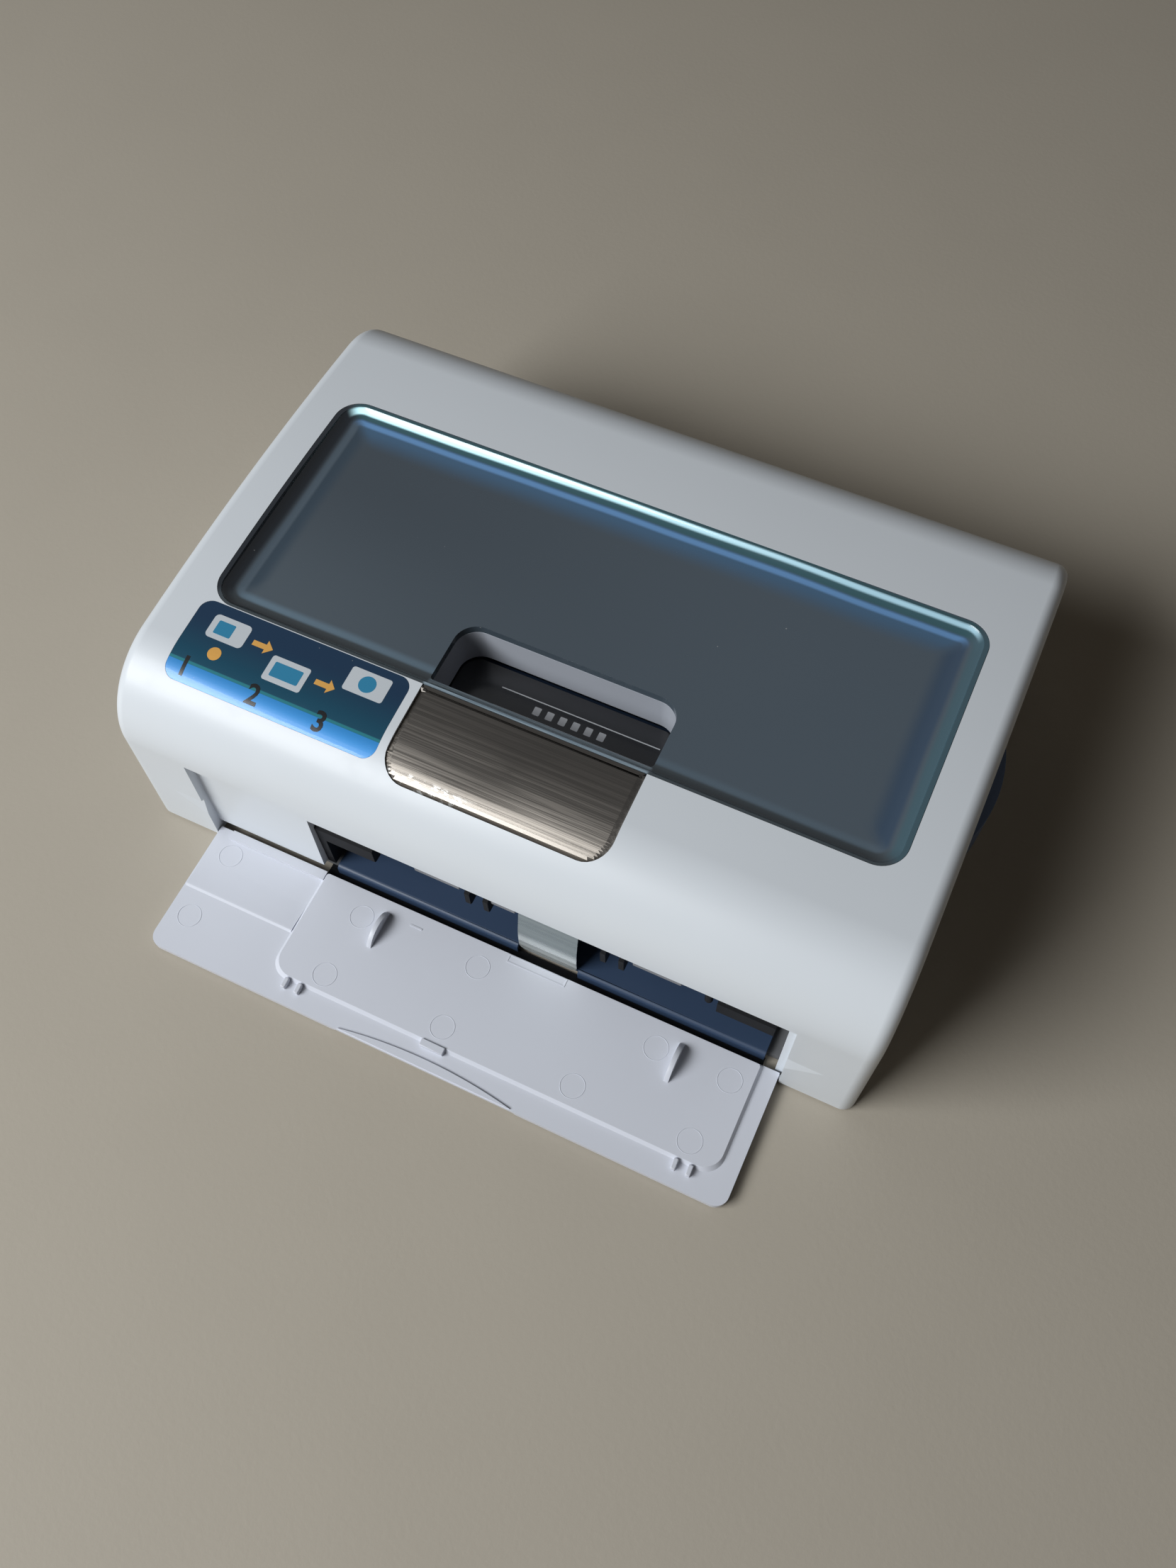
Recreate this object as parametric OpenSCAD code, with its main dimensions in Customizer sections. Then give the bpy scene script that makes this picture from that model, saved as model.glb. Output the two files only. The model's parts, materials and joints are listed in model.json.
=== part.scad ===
// Compact photo printer that prints 100 x 148 mm sheets from a ribbon cassette.
// X runs along the width, Y from the front (-) to the back (+), Z up from the table.
// Drawn with its front door open, the way it stands ready for its paper tray.

/* [Body] */
// Width of the body, without the ribbon cassette's grip
body_w = 172.8; // [172.3:0.1:173.3]
// Depth of the body at its foot
body_d = 122; // [121.8:0.1:122.4]
// Height of the crowned top above the table
body_h = 54; // [53.8:0.1:54.6]
// Wall thickness of the shell
wall = 2.2; // [2.1:0.05:2.3]
// Lean of the front and back walls, in degrees
draft = 1.8; // [1.6:0.1:2]
// Radius that rolls the front wall into the top
front_roll_r = 20; // [19:0.5:21]
// Radius that rolls the back wall into the top
back_roll_r = 15; // [14:0.5:16]
// Radius of the very slight crown of the top
crown_r = 600; // [550:10:700]
// Radius of the edges at the two ends
end_edge_r = 3; // [2:0.5:3.5]

/* [Window] */
// Half width of the smoky panel in the top
window_x = 76.4; // [75:0.1:77]
// Corner radius of the panel
window_r = 6; // [4:0.5:8]
// Height of the dished floor of the panel
window_floor_z = 51.3; // [51:0.1:51.6]
// Half width of the pocket through which the ribbon cassette's label shows
pocket_x = 24.9; // [22:0.1:26]

/* [Front door] */
// Half width of the door and its recess, less the side gap
door_x = 69.7; // [69:0.1:69.8]
// Length of the door from its pins to its free edge
door_len = 30.7; // [29.5:0.1:30.8]
// Radius of the hinge pins
door_pin_r = 0.5; // [0.4:0.05:0.52]
// Depth of the finger groove across the front
groove_depth = 0.8; // [0.5:0.1:0.9]

/* [Ribbon cassette] */
// Outer radius of the unused film on the supply spool
supply_film_r = 8.3; // [6:0.1:8.5]
// Outer radius of the used film on the take-up spool
takeup_film_r = 6.5; // [5.5:0.1:8.5]
// How far the grip bulges out of the side
grip_out = 3; // [2.6:0.1:3.4]

/* [Paper drive] */
// Radius of the rubber platen roller under the print head
platen_r = 7; // [6.5:0.1:7]
// Radius of the capstan roller that moves the paper
capstan_r = 4; // [3.8:0.05:4]
// Radius of the pick-up tyres
tyre_r = 8; // [7:0.1:8.2]
// Play between teeth on the pitch line
backlash = 0.15; // [0.12:0.01:0.2]

/* [Hidden] */
$fn = 72;
CUT = 1;
GAP = 0.3;
RUN = 0.05;

// Shell levels and inside faces
case_z = 0.5;
plate_top = 2.5;
inner_x = body_w / 2 - wall;
crown_y = -3;
crown_c = [crown_y, body_h - crown_r];

// Front recess, paper slot and the door's axis, closed pose leaning with the wall
door_axis = [-60.1, 1.5];
door_out = 0.84;
door_in = 0.9;
plug_w = 1.8;
recess_x = door_x + GAP;
recess_top = door_axis[1] + door_len + 0.2;
recess_inset = 2.1;
recess_back = 4;
slot_x0 = -42;
slot_x1 = 68.4;
recess_wall_z = 4.6;
groove_z0 = 10;
groove_z1 = 16.7;
groove_z2 = 17;
groove_tip_x = 78;
cheek_x = 73;

// Window, pocket, badge and label outlines, as [x0, y0, x1, y1]
window_box = [-window_x, -30.4, window_x, 30];
window_low = 49.3;
pocket_box = [-pocket_x, -27.9, pocket_x, -12.1];
badge_box = [-24.7, -51.1, 24.7, -30.5];
label_box = [-76.3, -49.4, -26.7, -30.6];

dish_rim = [-75.4, -29.9, 75.4, 29.2];
dish_floor = [-69.5, -28.4, 69.5, 23];
window_flange_z = 50.5;
window_flange = 2.6;
pocket_r = 5;
pocket_front_r = 1;
well_low = 39.6;
badge_r = 0.5;
badge_front_r = 5.5;
badge_depth = 1;
label_r = 2.8;
label_depth = 0.17;

// Right end opening for the ribbon cassette, as [y0, z0, y1, z1]
cassette_door = [-31.5, 18.4, 39.5, 40.5];
corner_r = 2;

// Base plate, feet and screws
base_box = [-inner_x + GAP, -56.4, inner_x - GAP, 58.4];
post_r = 4;
seat_h = 2;
screw_at = [78, 52];
screw_r = 1.5;
screw_len = 10;
screw_head_r = 2.7;
foot_at = [66, 46];
foot_h = 1.3;
foot_r = 5;

// Paper slot: floor, beam and ribs, as [y, z]
tray_x = [-39.3, 65.5];
tray_top = 4.2;
tray_lip = [-57.95, 0.9];
tray_notch_y = -57;
tray_lip_r = 1.2;
guide_x = [slot_x0 + 0.2, 65.7];
guide_xs = [[slot_x0 + 0.2, -27.5], [-5.1, -3.9], [-0.7, 0.5], [26.7, 27.9], [30.9, 32.1], [53, 65.7]];
guide_back = -54.5;
guide_cheek = [slot_x0 + 0.2, -39.8];
beam_z = [33, 37];
guide_pin = [50.8, -55.8];
bar_xs = [[-17.5, -6.6], [0.9, 6.6], [33.8, 44.8]];
bar_y = [-56.5, -54.9];
bar_low = 20.3;
leaf_x = [7, 21];
leaf_line = [[-55.1, 33], [-55.1, 24], [-57.1, 12.5], [-57.45, 8], [-57.45, 3.2]];
leaf_t = 0.3;

// Front door, with its outline along v from the axis
door_foot = -0.6;
door_r = 3;
plug_low = [slot_x0, door_foot, 66.5, 26];
plug_high = [slot_x0 + 1.2, door_foot + 0.3, 65.6, 24.6];
hinge_band_x = [-66, slot_x0 + 1];
hinge_band_v = 1.6;
rib_xs = [-23.5, 48.5];
rib_t = 1.1;
rib_r = 4.9;
rib_v = 7;
tooth_xs = [-36.2, -32.9, 57, 60.3];
tooth_v = [25.2, 27.6];
tooth_top = 2.3;
clip_x = 2.8;
clip_v = [24.8, 26.4];
scoop_x = 22.3;
scoop_v = 2.1;
scoop_r = (scoop_x * scoop_x + scoop_v * scoop_v) / (2 * scoop_v);
scoop_depth = 0.8;
door_journal_x = 66;
door_journal_r = 0.9;
door_pin_x = 71.8;

// Chassis
left_plate = [-49.5, -48.3];
right_plate = [72, 73.2];
plate_box = [-50, plate_top, 56.5, 46];
cassette_way = [-30.6, 18, 38.6, 40];
tie_outline = [[-49, 37], [-47.8, 37], [-47.8, 42.8], [-41, 42.8], [-41, 44], [-49, 44]];
deck_front = [[-28, 9.8], [-27, 8.8], [-25, 9.2], [-25, plate_top], [-23.6, plate_top], [-23.6, 9.5],
    [0.6, 15.6], [0.6, 16.9], [-0.4, 16.9]];
deck_rear = [[16.8, 16.9], [16.8, 15.6], [25, 15.6], [25, plate_top], [26.4, plate_top], [26.4, 15.6],
    [41, 15.6], [41, 16.9]];
rear_guide_x = [-40, 66];
rear_guide_outline = [[50.6, 15.7], [51, 14.5], [56, 14.2], [56, plate_top], [57.2, plate_top], [57.2, 15.4]];
bush_r = 4;
platen_bush_r = 4.5;

// Motor, circuit board and sockets
motor_x = [-80, -63.2];
motor_r = 10.5;
motor_boss_r = 3;
motor_shaft_r = 1;
bracket_x = [-63.2, -62];
board_y = [52.4, 54];
board_x = [-30, 62];
board_z = [27, 45];
board_screw_at = [for (x = [-26, 58], z = [29.5, 42.5]) [x, z]];
board_screw_r = 0.9;
boss_r = 2.6;
chip_t = 1.2;
chips = [[-14, 31, 14, 11], [8, 32, 10, 8], [24, 31, 7, 10], [38, 34, 9, 6], [50, 31, 4, 9]];
port_z = 35.5;
port_back = 59.2;
port_floor = 55;
port_gap = 0.3;
dc_x = 48;
dc_half = [5, 5];
dc_bore_r = 2.9;
usb_b_x = 29;
usb_b_half = [6, 5.4];
usb_b_mouth = [4.2, 4];
usb_a_x = 8;
usb_a_half = [6.8, 3];
usb_a_mouth = [6.2, 2.4];
rear_slot = [-41, 14, 67, 20.5];
vent_z = [30, 43];
vent_x0 = -76;
vent_pitch = 4;
vent_w = 1.8;

// Power button, its lamp and its switch on the left end, as [y, z]
button_box = [-40, 36, -28, 42];
button_r = 1.7;
lamp_at = [-23, 39];
lamp_r = 1;
rail_x = -79.4;
rail_ys = [-46, -22];
rail_z = [33, 45];

// Rollers and shafts, as [y, z]
platen_c = [8.5, 11];
pickup_xs = [[-5, 7], [20, 32]];
capstan_c = [46, 13];
pinch_r = 3;
pinch_c = capstan_c + [0, capstan_r + pinch_r + 0.35];
platen_shaft_r = 3;
shaft_r = 2.5;
pivot_c = [44, 38];
pivot_r = 2;
paper_x = [-38, 62];

// Spools in the ribbon cassette
supply_c = [-20, 29.4];
takeup_c = [26, 29.4];
cassette_x = [-45, 80];
chamber_r = 9;
housing_half = 9.6;
housing_z = [19.8, 38.9];
journal_r = 4;
core_r = 5;
socket_r = 2.9;
drive_r = 2.4;
spool_out = 2.9;
spool_foot_r = 3;
film_x = [paper_x[0], 64];
bridge_z = [19.9, 22];
grip_half = 14;
grip_y = 3.5;
grip_z = [23, 36];

// Gear train: teeth, layers along X and centres a hair over the theoretical distance
gear_m = 0.5;
pressure = 20;
layer_a = [-59.5, -56.5];
layer_b = [-55.5, -52.5];
capstan_t = 34;
reduction_big_t = 50;
reduction_small_t = 18;
pinion_t = 18;
takeup_t = 44;
idler_t = 48;
pickup_t = 36;
spread = 0.1;
reduction_dir = 105;
idler_rear_dir = 190;
idler_front_dir = 188;
pickup_dir = 185;
reduction_c = capstan_c + polar(mesh_distance(capstan_t, reduction_small_t), reduction_dir);
motor_c = lower_crossing(reduction_c, mesh_distance(reduction_big_t, pinion_t),
    takeup_c, mesh_distance(takeup_t, pinion_t));
idler_rear_c = takeup_c + polar(mesh_distance(takeup_t, idler_t), idler_rear_dir);
idler_front_c = idler_rear_c + polar(mesh_distance(idler_t, idler_t), idler_front_dir);
pickup_c = idler_front_c + polar(mesh_distance(idler_t, pickup_t), pickup_dir);
stud_r = 1.5;

// Print head and its arm
head_y = [2, 12];
head_plate = [3, 11];
head_low = 22.9;
head_foot = 23.9;
arm_z = [42, 43.2];
arm_t = 1.2;
ear_y = [38.5, 48];

// Tooth phases that put every pair in mesh
capstan_phase = 0;
reduction_small_phase = meshed(capstan_t, capstan_phase, reduction_small_t, reduction_dir);
reduction_big_phase = 0;
motor_phase = meshed(reduction_big_t, reduction_big_phase, pinion_t, direction(reduction_c, motor_c));
takeup_phase = meshed(pinion_t, motor_phase, takeup_t, direction(motor_c, takeup_c));
idler_rear_phase = meshed(takeup_t, takeup_phase, idler_t, idler_rear_dir);
idler_front_phase = meshed(idler_t, idler_rear_phase, idler_t, idler_front_dir);
pickup_phase = meshed(idler_t, idler_front_phase, pickup_t, pickup_dir);

// ---- Outlines ----

function polar(r, a) = r * [cos(a), sin(a)];
function arc(c, r, a0, a1, n) = [for (i = [0:n]) c + polar(r, a0 + (a1 - a0) * i / n)];
function inner_arc(c, r, a0, a1, n) = [for (i = [1:n - 1]) c + polar(r, a0 + (a1 - a0) * i / n)];
function direction(a, b) = atan2(b[1] - a[1], b[0] - a[0]);

// Rounded rectangle from b = [x0, y0, x1, y1], with radius r at the back and rf at the front
function rounded(b, r, rf, n = 6) = concat(
    arc([b[2] - r, b[3] - r], r, 0, 90, n), arc([b[0] + r, b[3] - r], r, 90, 180, n),
    arc([b[0] + rf, b[1] + rf], rf, 180, 270, n), arc([b[2] - rf, b[1] + rf], rf, 270, 360, n));
function grown(b, g) = [b[0] - g, b[1] - g, b[2] + g, b[3] + g];

// Leaning wall and the roll that joins it to the crown; side is -1 in front and 1 behind
function wall_y(side, z, inset) = side * (body_d / 2 - tan(draft) * z - inset / cos(draft));
function roll_centre(side, r) =
    let (t = tan(draft), m = body_d / 2 - r / cos(draft), q = m - side * crown_y,
        d = crown_r - r, c = crown_c[1], b = t * q + c,
        z = (b + sqrt(b * b - (1 + t * t) * (q * q + c * c - d * d))) / (1 + t * t))
    [side * (m - t * z), z];
function crown_angle(side, r) = direction(crown_c, roll_centre(side, r));

// Cross-section of the shell, moved in by inset, from height z up
function section(inset, z) =
    let (front = crown_angle(-1, front_roll_r), back = crown_angle(1, back_roll_r))
    concat([[wall_y(1, z, inset), z]],
        arc(roll_centre(1, back_roll_r), back_roll_r - inset, draft, back, 20),
        inner_arc(crown_c, crown_r - inset, back, front, 8),
        arc(roll_centre(-1, front_roll_r), front_roll_r - inset, front, 180 - draft, 22),
        [[wall_y(-1, z, inset), z]]);

// ---- Gears ----

function mesh_distance(a, b) = gear_m * (a + b) / 2 + spread;
function lower_crossing(a, ra, b, rb) =
    let (d = norm(b - a), u = (b - a) / d, s = (ra * ra - rb * rb + d * d) / (2 * d),
        h = sqrt(ra * ra - s * s), p = a + u * s, n = [-u[1], u[0]],
        one = p + n * h, two = p - n * h)
    one[1] < two[1] ? one : two;
function meshed(ta, pa, tb, dir) = dir + 180 - 360 / tb * (0.5 - (dir - pa) * ta / 360);
function involute(a) = tan(a) * 180 / PI - a;
function half_tooth(t, r) =
    let (rp = gear_m * t / 2, rb = rp * cos(pressure), a = r > rb ? acos(rb / r) : 0)
    90 / t - backlash / (4 * rp) * 180 / PI + involute(pressure) - involute(a);
function gear_outline(t, phase) =
    let (rp = gear_m * t / 2, radii = [rp - 1.25 * gear_m, rp, rp + gear_m])
    [for (i = [0:t - 1], k = [-3, -2, -1, 1, 2, 3])
        let (r = radii[3 - abs(k)])
        polar(r, phase + 360 * i / t + sign(k) * half_tooth(t, r))];

// ---- Shared solids ----

module along_x(x0, x1) {
    translate([x0, 0, 0]) rotate([90, 0, 90]) linear_extrude(height = x1 - x0) children();
}
module along_y(y0, y1) {
    translate([0, y1, 0]) rotate([90, 0, 0]) linear_extrude(height = y1 - y0) children();
}
module between(z0, z1) {
    translate([0, 0, z0]) linear_extrude(height = z1 - z0) children();
}
module block(a, b) {
    translate(a) cube(b - a);
}
// Round bar along X at c = [y, z]
module rod(x0, x1, c, r) {
    translate([x0, c[0], c[1]]) rotate([0, 90, 0]) cylinder(h = x1 - x0, r = r);
}
module tube(x0, x1, c, r, bore) {
    difference() {
        rod(x0, x1, c, r);
        rod(x0 - CUT, x1 + CUT, c, bore);
    }
}
module gear(layer, c, t, phase) {
    along_x(layer[0], layer[1]) translate(c) polygon(gear_outline(t, phase));
}
module hexagon_bar(x0, x1, c, r) {
    along_x(x0, x1) translate(c) circle(r = r, $fn = 6);
}
// One copy of the children at each corner, p = [x, y] from the middle
module at_corners(p) {
    for (sx = [-1, 1], sy = [-1, 1])
        translate([sx * p[0], sy * p[1], 0]) children();
}
// The whole outer form, with rounded ends
module body_block() {
    side = body_w / 2;
    depth = body_d / 2;
    intersection() {
        along_x(-side, side) polygon(section(0, case_z));
        between(0, body_h + CUT) polygon(rounded([-side, -depth, side, depth], end_edge_r, end_edge_r));
        along_y(-body_d, body_d) polygon(rounded([-side, -body_h, side, body_h], end_edge_r, end_edge_r));
    }
}
// Layer of the shell between two insets, kept where its plan outline is
module skin_patch(out, inset, outline) {
    intersection() {
        difference() {
            along_x(-body_w, body_w) polygon(section(out, case_z));
            along_x(-body_w - CUT, body_w + CUT) polygon(section(inset, case_z - CUT));
        }
        between(body_h / 2, body_h + 2 * CUT) polygon(outline);
    }
}

// ---- Shell ----

module front_recess() {
    block([-recess_x, -body_d, case_z - CUT], [recess_x, wall_y(-1, 0, recess_back), recess_top]);
}
module recess_wall(x0, x1, z0) {
    top = recess_top + 2;
    along_x(x0, x1) polygon([
        [wall_y(-1, z0, recess_inset), z0], [wall_y(-1, z0, recess_back), z0],
        [wall_y(-1, top, recess_back), top], [wall_y(-1, top, 1), top],
        [wall_y(-1, recess_top, 1), recess_top], [wall_y(-1, recess_top, recess_inset), recess_top]]);
}
// Tip of the finger groove, fading out past the end of the door
module groove_tip() {
    hull() {
        for (z = [groove_z0, groove_z1, groove_z2])
            translate([recess_x - CUT, wall_y(-1, z, z == groove_z1 ? groove_depth : 0), z])
                rotate([0, 90, 0]) cylinder(h = 0.1, r = 0.02, $fn = 32);
        translate([recess_x, -body_d / 2 - CUT, groove_z1]) cube([0.1, 0.1, 0.1]);
        translate([groove_tip_x, wall_y(-1, groove_z1, 0), groove_z1]) cube([0.05, 0.05, 0.05]);
    }
}
module corner_posts() {
    at_corners(screw_at) translate([0, 0, plate_top + seat_h]) cylinder(h = body_h, r = post_r);
}
module board_bosses() {
    for (p = board_screw_at)
        translate([p[0], board_y[1], p[1]]) rotate([-90, 0, 0]) cylinder(h = 8, r = boss_r);
}
module switch_rails() {
    for (y = rail_ys)
        block([-inner_x - CUT, y, rail_z[0]], [rail_x, y + 2, rail_z[1]]);
}
module hinge_cheeks() {
    for (s = [-1, 1])
        block([min(s * recess_x, s * cheek_x), -body_d / 2, case_z],
            [max(s * recess_x, s * cheek_x), wall_y(-1, 0, recess_back), 6]);
}
module port_hole(x, half) {
    block([x - half[0] - port_gap, board_y[1], port_z - half[1] - port_gap],
        [x + half[0] + port_gap, body_d, port_z + half[1] + port_gap]);
}
module rear_vents() {
    for (i = [0:7])
        block([vent_x0 + vent_pitch * i, board_y[1], vent_z[0]],
            [vent_x0 + vent_pitch * i + vent_w, body_d, vent_z[1]]);
}
module upper_case() color("whitesmoke") difference() {
    union() {
        difference() {
            body_block();
            along_x(-inner_x, inner_x) polygon(section(wall, case_z - CUT));
            front_recess();
        }
        intersection() {
            body_block();
            union() {
                corner_posts();
                board_bosses();
                switch_rails();
                recess_wall(-recess_x, slot_x0, recess_wall_z);
                recess_wall(slot_x1, recess_x, case_z);
                hinge_cheeks();
            }
        }
    }
    between(window_low - CUT, body_h + CUT) polygon(rounded(window_box, window_r, window_r));
    skin_patch(-CUT, badge_depth, rounded([badge_box[0] - 0.1, badge_box[1] - 0.1, badge_box[2] + 0.1,
        window_box[1] + CUT], badge_r, badge_front_r + 0.1));
    skin_patch(-CUT, label_depth, rounded(grown(label_box, 0.05), label_r, label_r));
    along_x(inner_x - CUT, body_w) polygon(rounded(cassette_door, corner_r, corner_r));
    block([rear_slot[0], board_y[1], rear_slot[1]], [rear_slot[2], body_d, rear_slot[3]]);
    port_hole(dc_x, dc_half);
    port_hole(usb_b_x, usb_b_half);
    port_hole(usb_a_x, usb_a_half);
    rear_vents();
    along_x(-body_w, -inner_x + CUT) polygon(rounded(grown(button_box, GAP), corner_r, corner_r));
    rod(-body_w, -inner_x + CUT, lamp_at, lamp_r + 0.1);
    groove_tip();
    mirror([1, 0, 0]) groove_tip();
    rod(-cheek_x + 0.5, -recess_x + CUT, door_axis, door_pin_r + RUN);
    rod(recess_x - CUT, cheek_x - 0.5, door_axis, door_pin_r + RUN);
    at_corners(screw_at) cylinder(h = plate_top + screw_len + 1.5, r = screw_r + RUN);
    for (p = board_screw_at)
        translate([p[0], board_y[1] - CUT, p[1]]) rotate([-90, 0, 0])
            cylinder(h = 4.5, r = board_screw_r + RUN);
}
module bottom_case() color("gainsboro") difference() {
    union() {
        between(case_z, plate_top) polygon(rounded(base_box, corner_r, corner_r));
        at_corners(screw_at) translate([0, 0, plate_top]) cylinder(h = seat_h, r = post_r);
    }
    at_corners(screw_at) cylinder(h = screw_len, r = screw_r + 0.1);
    at_corners(screw_at) cylinder(h = plate_top, r = screw_head_r + GAP);
    at_corners(foot_at) cylinder(h = foot_h, r = foot_r + 0.2);
}
module window_panel() color("slategray", 0.8) difference() {
    union() {
        intersection() {
            along_x(-body_w, body_w) polygon(section(0.05, case_z));
            between(window_low, body_h + CUT) polygon(rounded(grown(window_box, -0.1), window_r, window_r));
        }
        between(window_low, window_flange_z)
            polygon(rounded(grown(window_box, window_flange), window_r, window_r));
    }
    hull() {
        between(body_h + 0.1, body_h + 0.2) polygon(rounded(dish_rim, 5, 5));
        between(window_floor_z, window_floor_z + 0.1) polygon(rounded(dish_floor, 3, 3));
    }
    between(window_low - CUT, body_h + CUT) polygon(rounded(pocket_box, pocket_r, pocket_front_r));
}
module pocket_well() color("lightgray") difference() {
    between(well_low, window_low)
        polygon(rounded(grown(pocket_box, 1.5), pocket_r + 1, pocket_front_r + 0.5));
    between(well_low - CUT, window_low + CUT) polygon(rounded(pocket_box, pocket_r, pocket_front_r));
}
module badge_plate() color("dimgray") {
    skin_patch(0.05, badge_depth - 0.05, rounded(badge_box, badge_r, badge_front_r));
}
module instruction_label() color("midnightblue") {
    skin_patch(0.02, label_depth - 0.01, rounded(label_box, label_r, label_r));
}
module rubber_feet() color("dimgray") at_corners(foot_at) cylinder(h = foot_h, r = foot_r);
module cross_slot() {
    for (a = [0, 90])
        rotate(a) translate([-1.5, -0.3, 0]) cube([3, 0.6, 1.8]);
}
module case_screws() color("silver") at_corners(screw_at) {
    difference() {
        between(1, plate_top) circle(r = screw_head_r);
        cross_slot();
    }
    translate([0, 0, plate_top - 0.1]) cylinder(h = screw_len, r = screw_r);
}

// ---- Paper slot ----

// Floor of the slot, its lip cut back where the spring passes
module feed_tray() color("darkslateblue") difference() {
    lip_c = [tray_lip[0] + tray_lip_r, tray_top - tray_lip_r];
    along_x(tray_x[0], tray_x[1]) polygon(concat(
        [[-30, plate_top + 0.1], [-30, tray_top]], arc(lip_c, tray_lip_r, 90, 180, 5),
        [tray_lip, tray_lip + [0.4, 0], [tray_lip[0] + 0.4, plate_top + 0.1]]));
    block([leaf_x[0] - GAP, tray_lip[0] - CUT, 0], [leaf_x[1] + GAP, tray_notch_y, tray_top + CUT]);
}
module front_guide() color("darkslategray") {
    along_x(guide_x[0], guide_x[1]) polygon([
        [wall_y(-1, beam_z[0], wall), beam_z[0]], [guide_back, beam_z[0]],
        [guide_back, beam_z[1]], [-57.2, beam_z[1]], [-57.6, beam_z[0] + 0.5]]);
    for (x = guide_xs)
        along_x(x[0], x[1]) polygon([[-57.2, 16.6], [-56.6, 16], [guide_back, 16],
            [guide_back, beam_z[0] + 0.1], [-56.6, beam_z[0] + 0.1], [-56.6, 22], [-57.2, 21.4]]);
    along_x(guide_cheek[0], guide_cheek[1])
        polygon([[-57.2, tray_top + GAP], [-50, tray_top + GAP], [-50, 20], [-57.2, 20]]);
    translate([guide_pin[0], guide_pin[1], 18]) cylinder(h = beam_z[0] - 18 + 0.1, r = 0.9);
}
module guide_bars() color("lightgray") {
    for (x = bar_xs)
        block([x[0], bar_y[0], bar_low], [x[1], bar_y[1], beam_z[0]]);
}
module pressure_leaf() color("silver") {
    along_x(leaf_x[0], leaf_x[1])
        polygon(concat(leaf_line, [for (i = [4:-1:0]) leaf_line[i] + [leaf_t, 0]]));
}

// ---- Front door, drawn along v from its axis and w towards the inside of the printer ----

module door_space() {
    translate([0, door_axis[0], door_axis[1]]) mirror([0, 1, 0]) children();
}
module door_outline() {
    polygon(concat([[-door_x, door_foot], [door_x, door_foot]],
        arc([door_x - door_r, door_len - door_r], door_r, 0, 90, 6),
        arc([door_r - door_x, door_len - door_r], door_r, 90, 180, 6)));
}
module door_scoop(w0, w1) {
    translate([0, door_len - scoop_v + scoop_r, w0]) cylinder(h = w1 - w0, r = scoop_r, $fn = 360);
}
// Raised pad that fills the paper slot when the door is shut
module door_plug() {
    hull() {
        between(door_in - 0.1, door_in) polygon(rounded(plug_low, 4, 0.6));
        between(plug_w - 0.1, plug_w) polygon(rounded(plug_high, 3, 0.6));
    }
    block([hinge_band_x[0], door_foot, 0], [hinge_band_x[1], hinge_band_v, plug_w]);
}
module door_ribs() {
    for (x = rib_xs)
        intersection() {
            rod(x - rib_t / 2, x + rib_t / 2, [rib_v, 0], rib_r);
            block([x - rib_t, 0, plug_w - 0.1], [x + rib_t, 2 * rib_v, rib_r + CUT]);
        }
}
module door_catches() {
    for (x = tooth_xs)
        block([x - 0.5, tooth_v[0], door_in - 0.1], [x + 0.5, tooth_v[1], tooth_top]);
    block([-clip_x, clip_v[0], door_in - 0.1], [clip_x, clip_v[1], tooth_top]);
}
module door_pins() {
    for (s = [-1, 1]) {
        rod(min(s * door_journal_x, s * door_x), max(s * door_journal_x, s * door_x), [0, 0], door_journal_r);
        rod(min(s * door_x, s * door_pin_x), max(s * door_x, s * door_pin_x), [0, 0], door_pin_r);
    }
}
// Finger groove across the outside
module door_groove() {
    v = [groove_z0, groove_z1, groove_z2] - [1, 1, 1] * door_axis[1];
    along_x(-door_x - CUT, door_x + CUT) polygon([
        [v[0], -door_out - 0.01], [v[0], -door_out - CUT], [v[2], -door_out - CUT], [v[2], -door_out],
        [v[1], -door_out + groove_depth]]);
}
module front_door() color("white") door_space() difference() {
    union() {
        between(-door_out, door_in) door_outline();
        door_plug();
        door_ribs();
        door_catches();
        intersection() {
            door_scoop(door_in - 0.1, door_in + 0.5);
            between(0, 3) door_outline();
        }
        door_pins();
    }
    door_scoop(-door_out - CUT, -door_out + scoop_depth);
    door_groove();
}

// ---- Chassis ----

module side_plate(x, holes) {
    difference() {
        along_x(x[0], x[1]) polygon(rounded(plate_box, 6, 1));
        for (hole = holes)
            rod(x[0] - CUT, x[1] + CUT, hole[0], hole[1]);
    }
}
shaft_holes = [[platen_c, platen_bush_r], [capstan_c, bush_r], [pickup_c, bush_r], [pivot_c, pivot_r]];
module left_side_plate() color("lightsteelblue") {
    side_plate(left_plate, concat(shaft_holes, [[supply_c, shaft_r + RUN], [takeup_c, shaft_r + RUN]]));
}
module right_side_plate() color("lightsteelblue") difference() {
    side_plate(right_plate, shaft_holes);
    along_x(right_plate[0] - CUT, right_plate[1] + CUT) polygon(rounded(cassette_way, corner_r, corner_r));
}
module chassis_tie_bar() color("lightsteelblue") along_x(left_plate[1], right_plate[0]) polygon(tie_outline);
module paper_deck() color("darkgray") {
    along_x(left_plate[1], right_plate[0]) polygon(deck_front);
    along_x(left_plate[1], right_plate[0]) polygon(deck_rear);
}
module rear_paper_guide() color("darkgray") {
    along_x(rear_guide_x[0], rear_guide_x[1]) polygon(rear_guide_outline);
}
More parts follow.
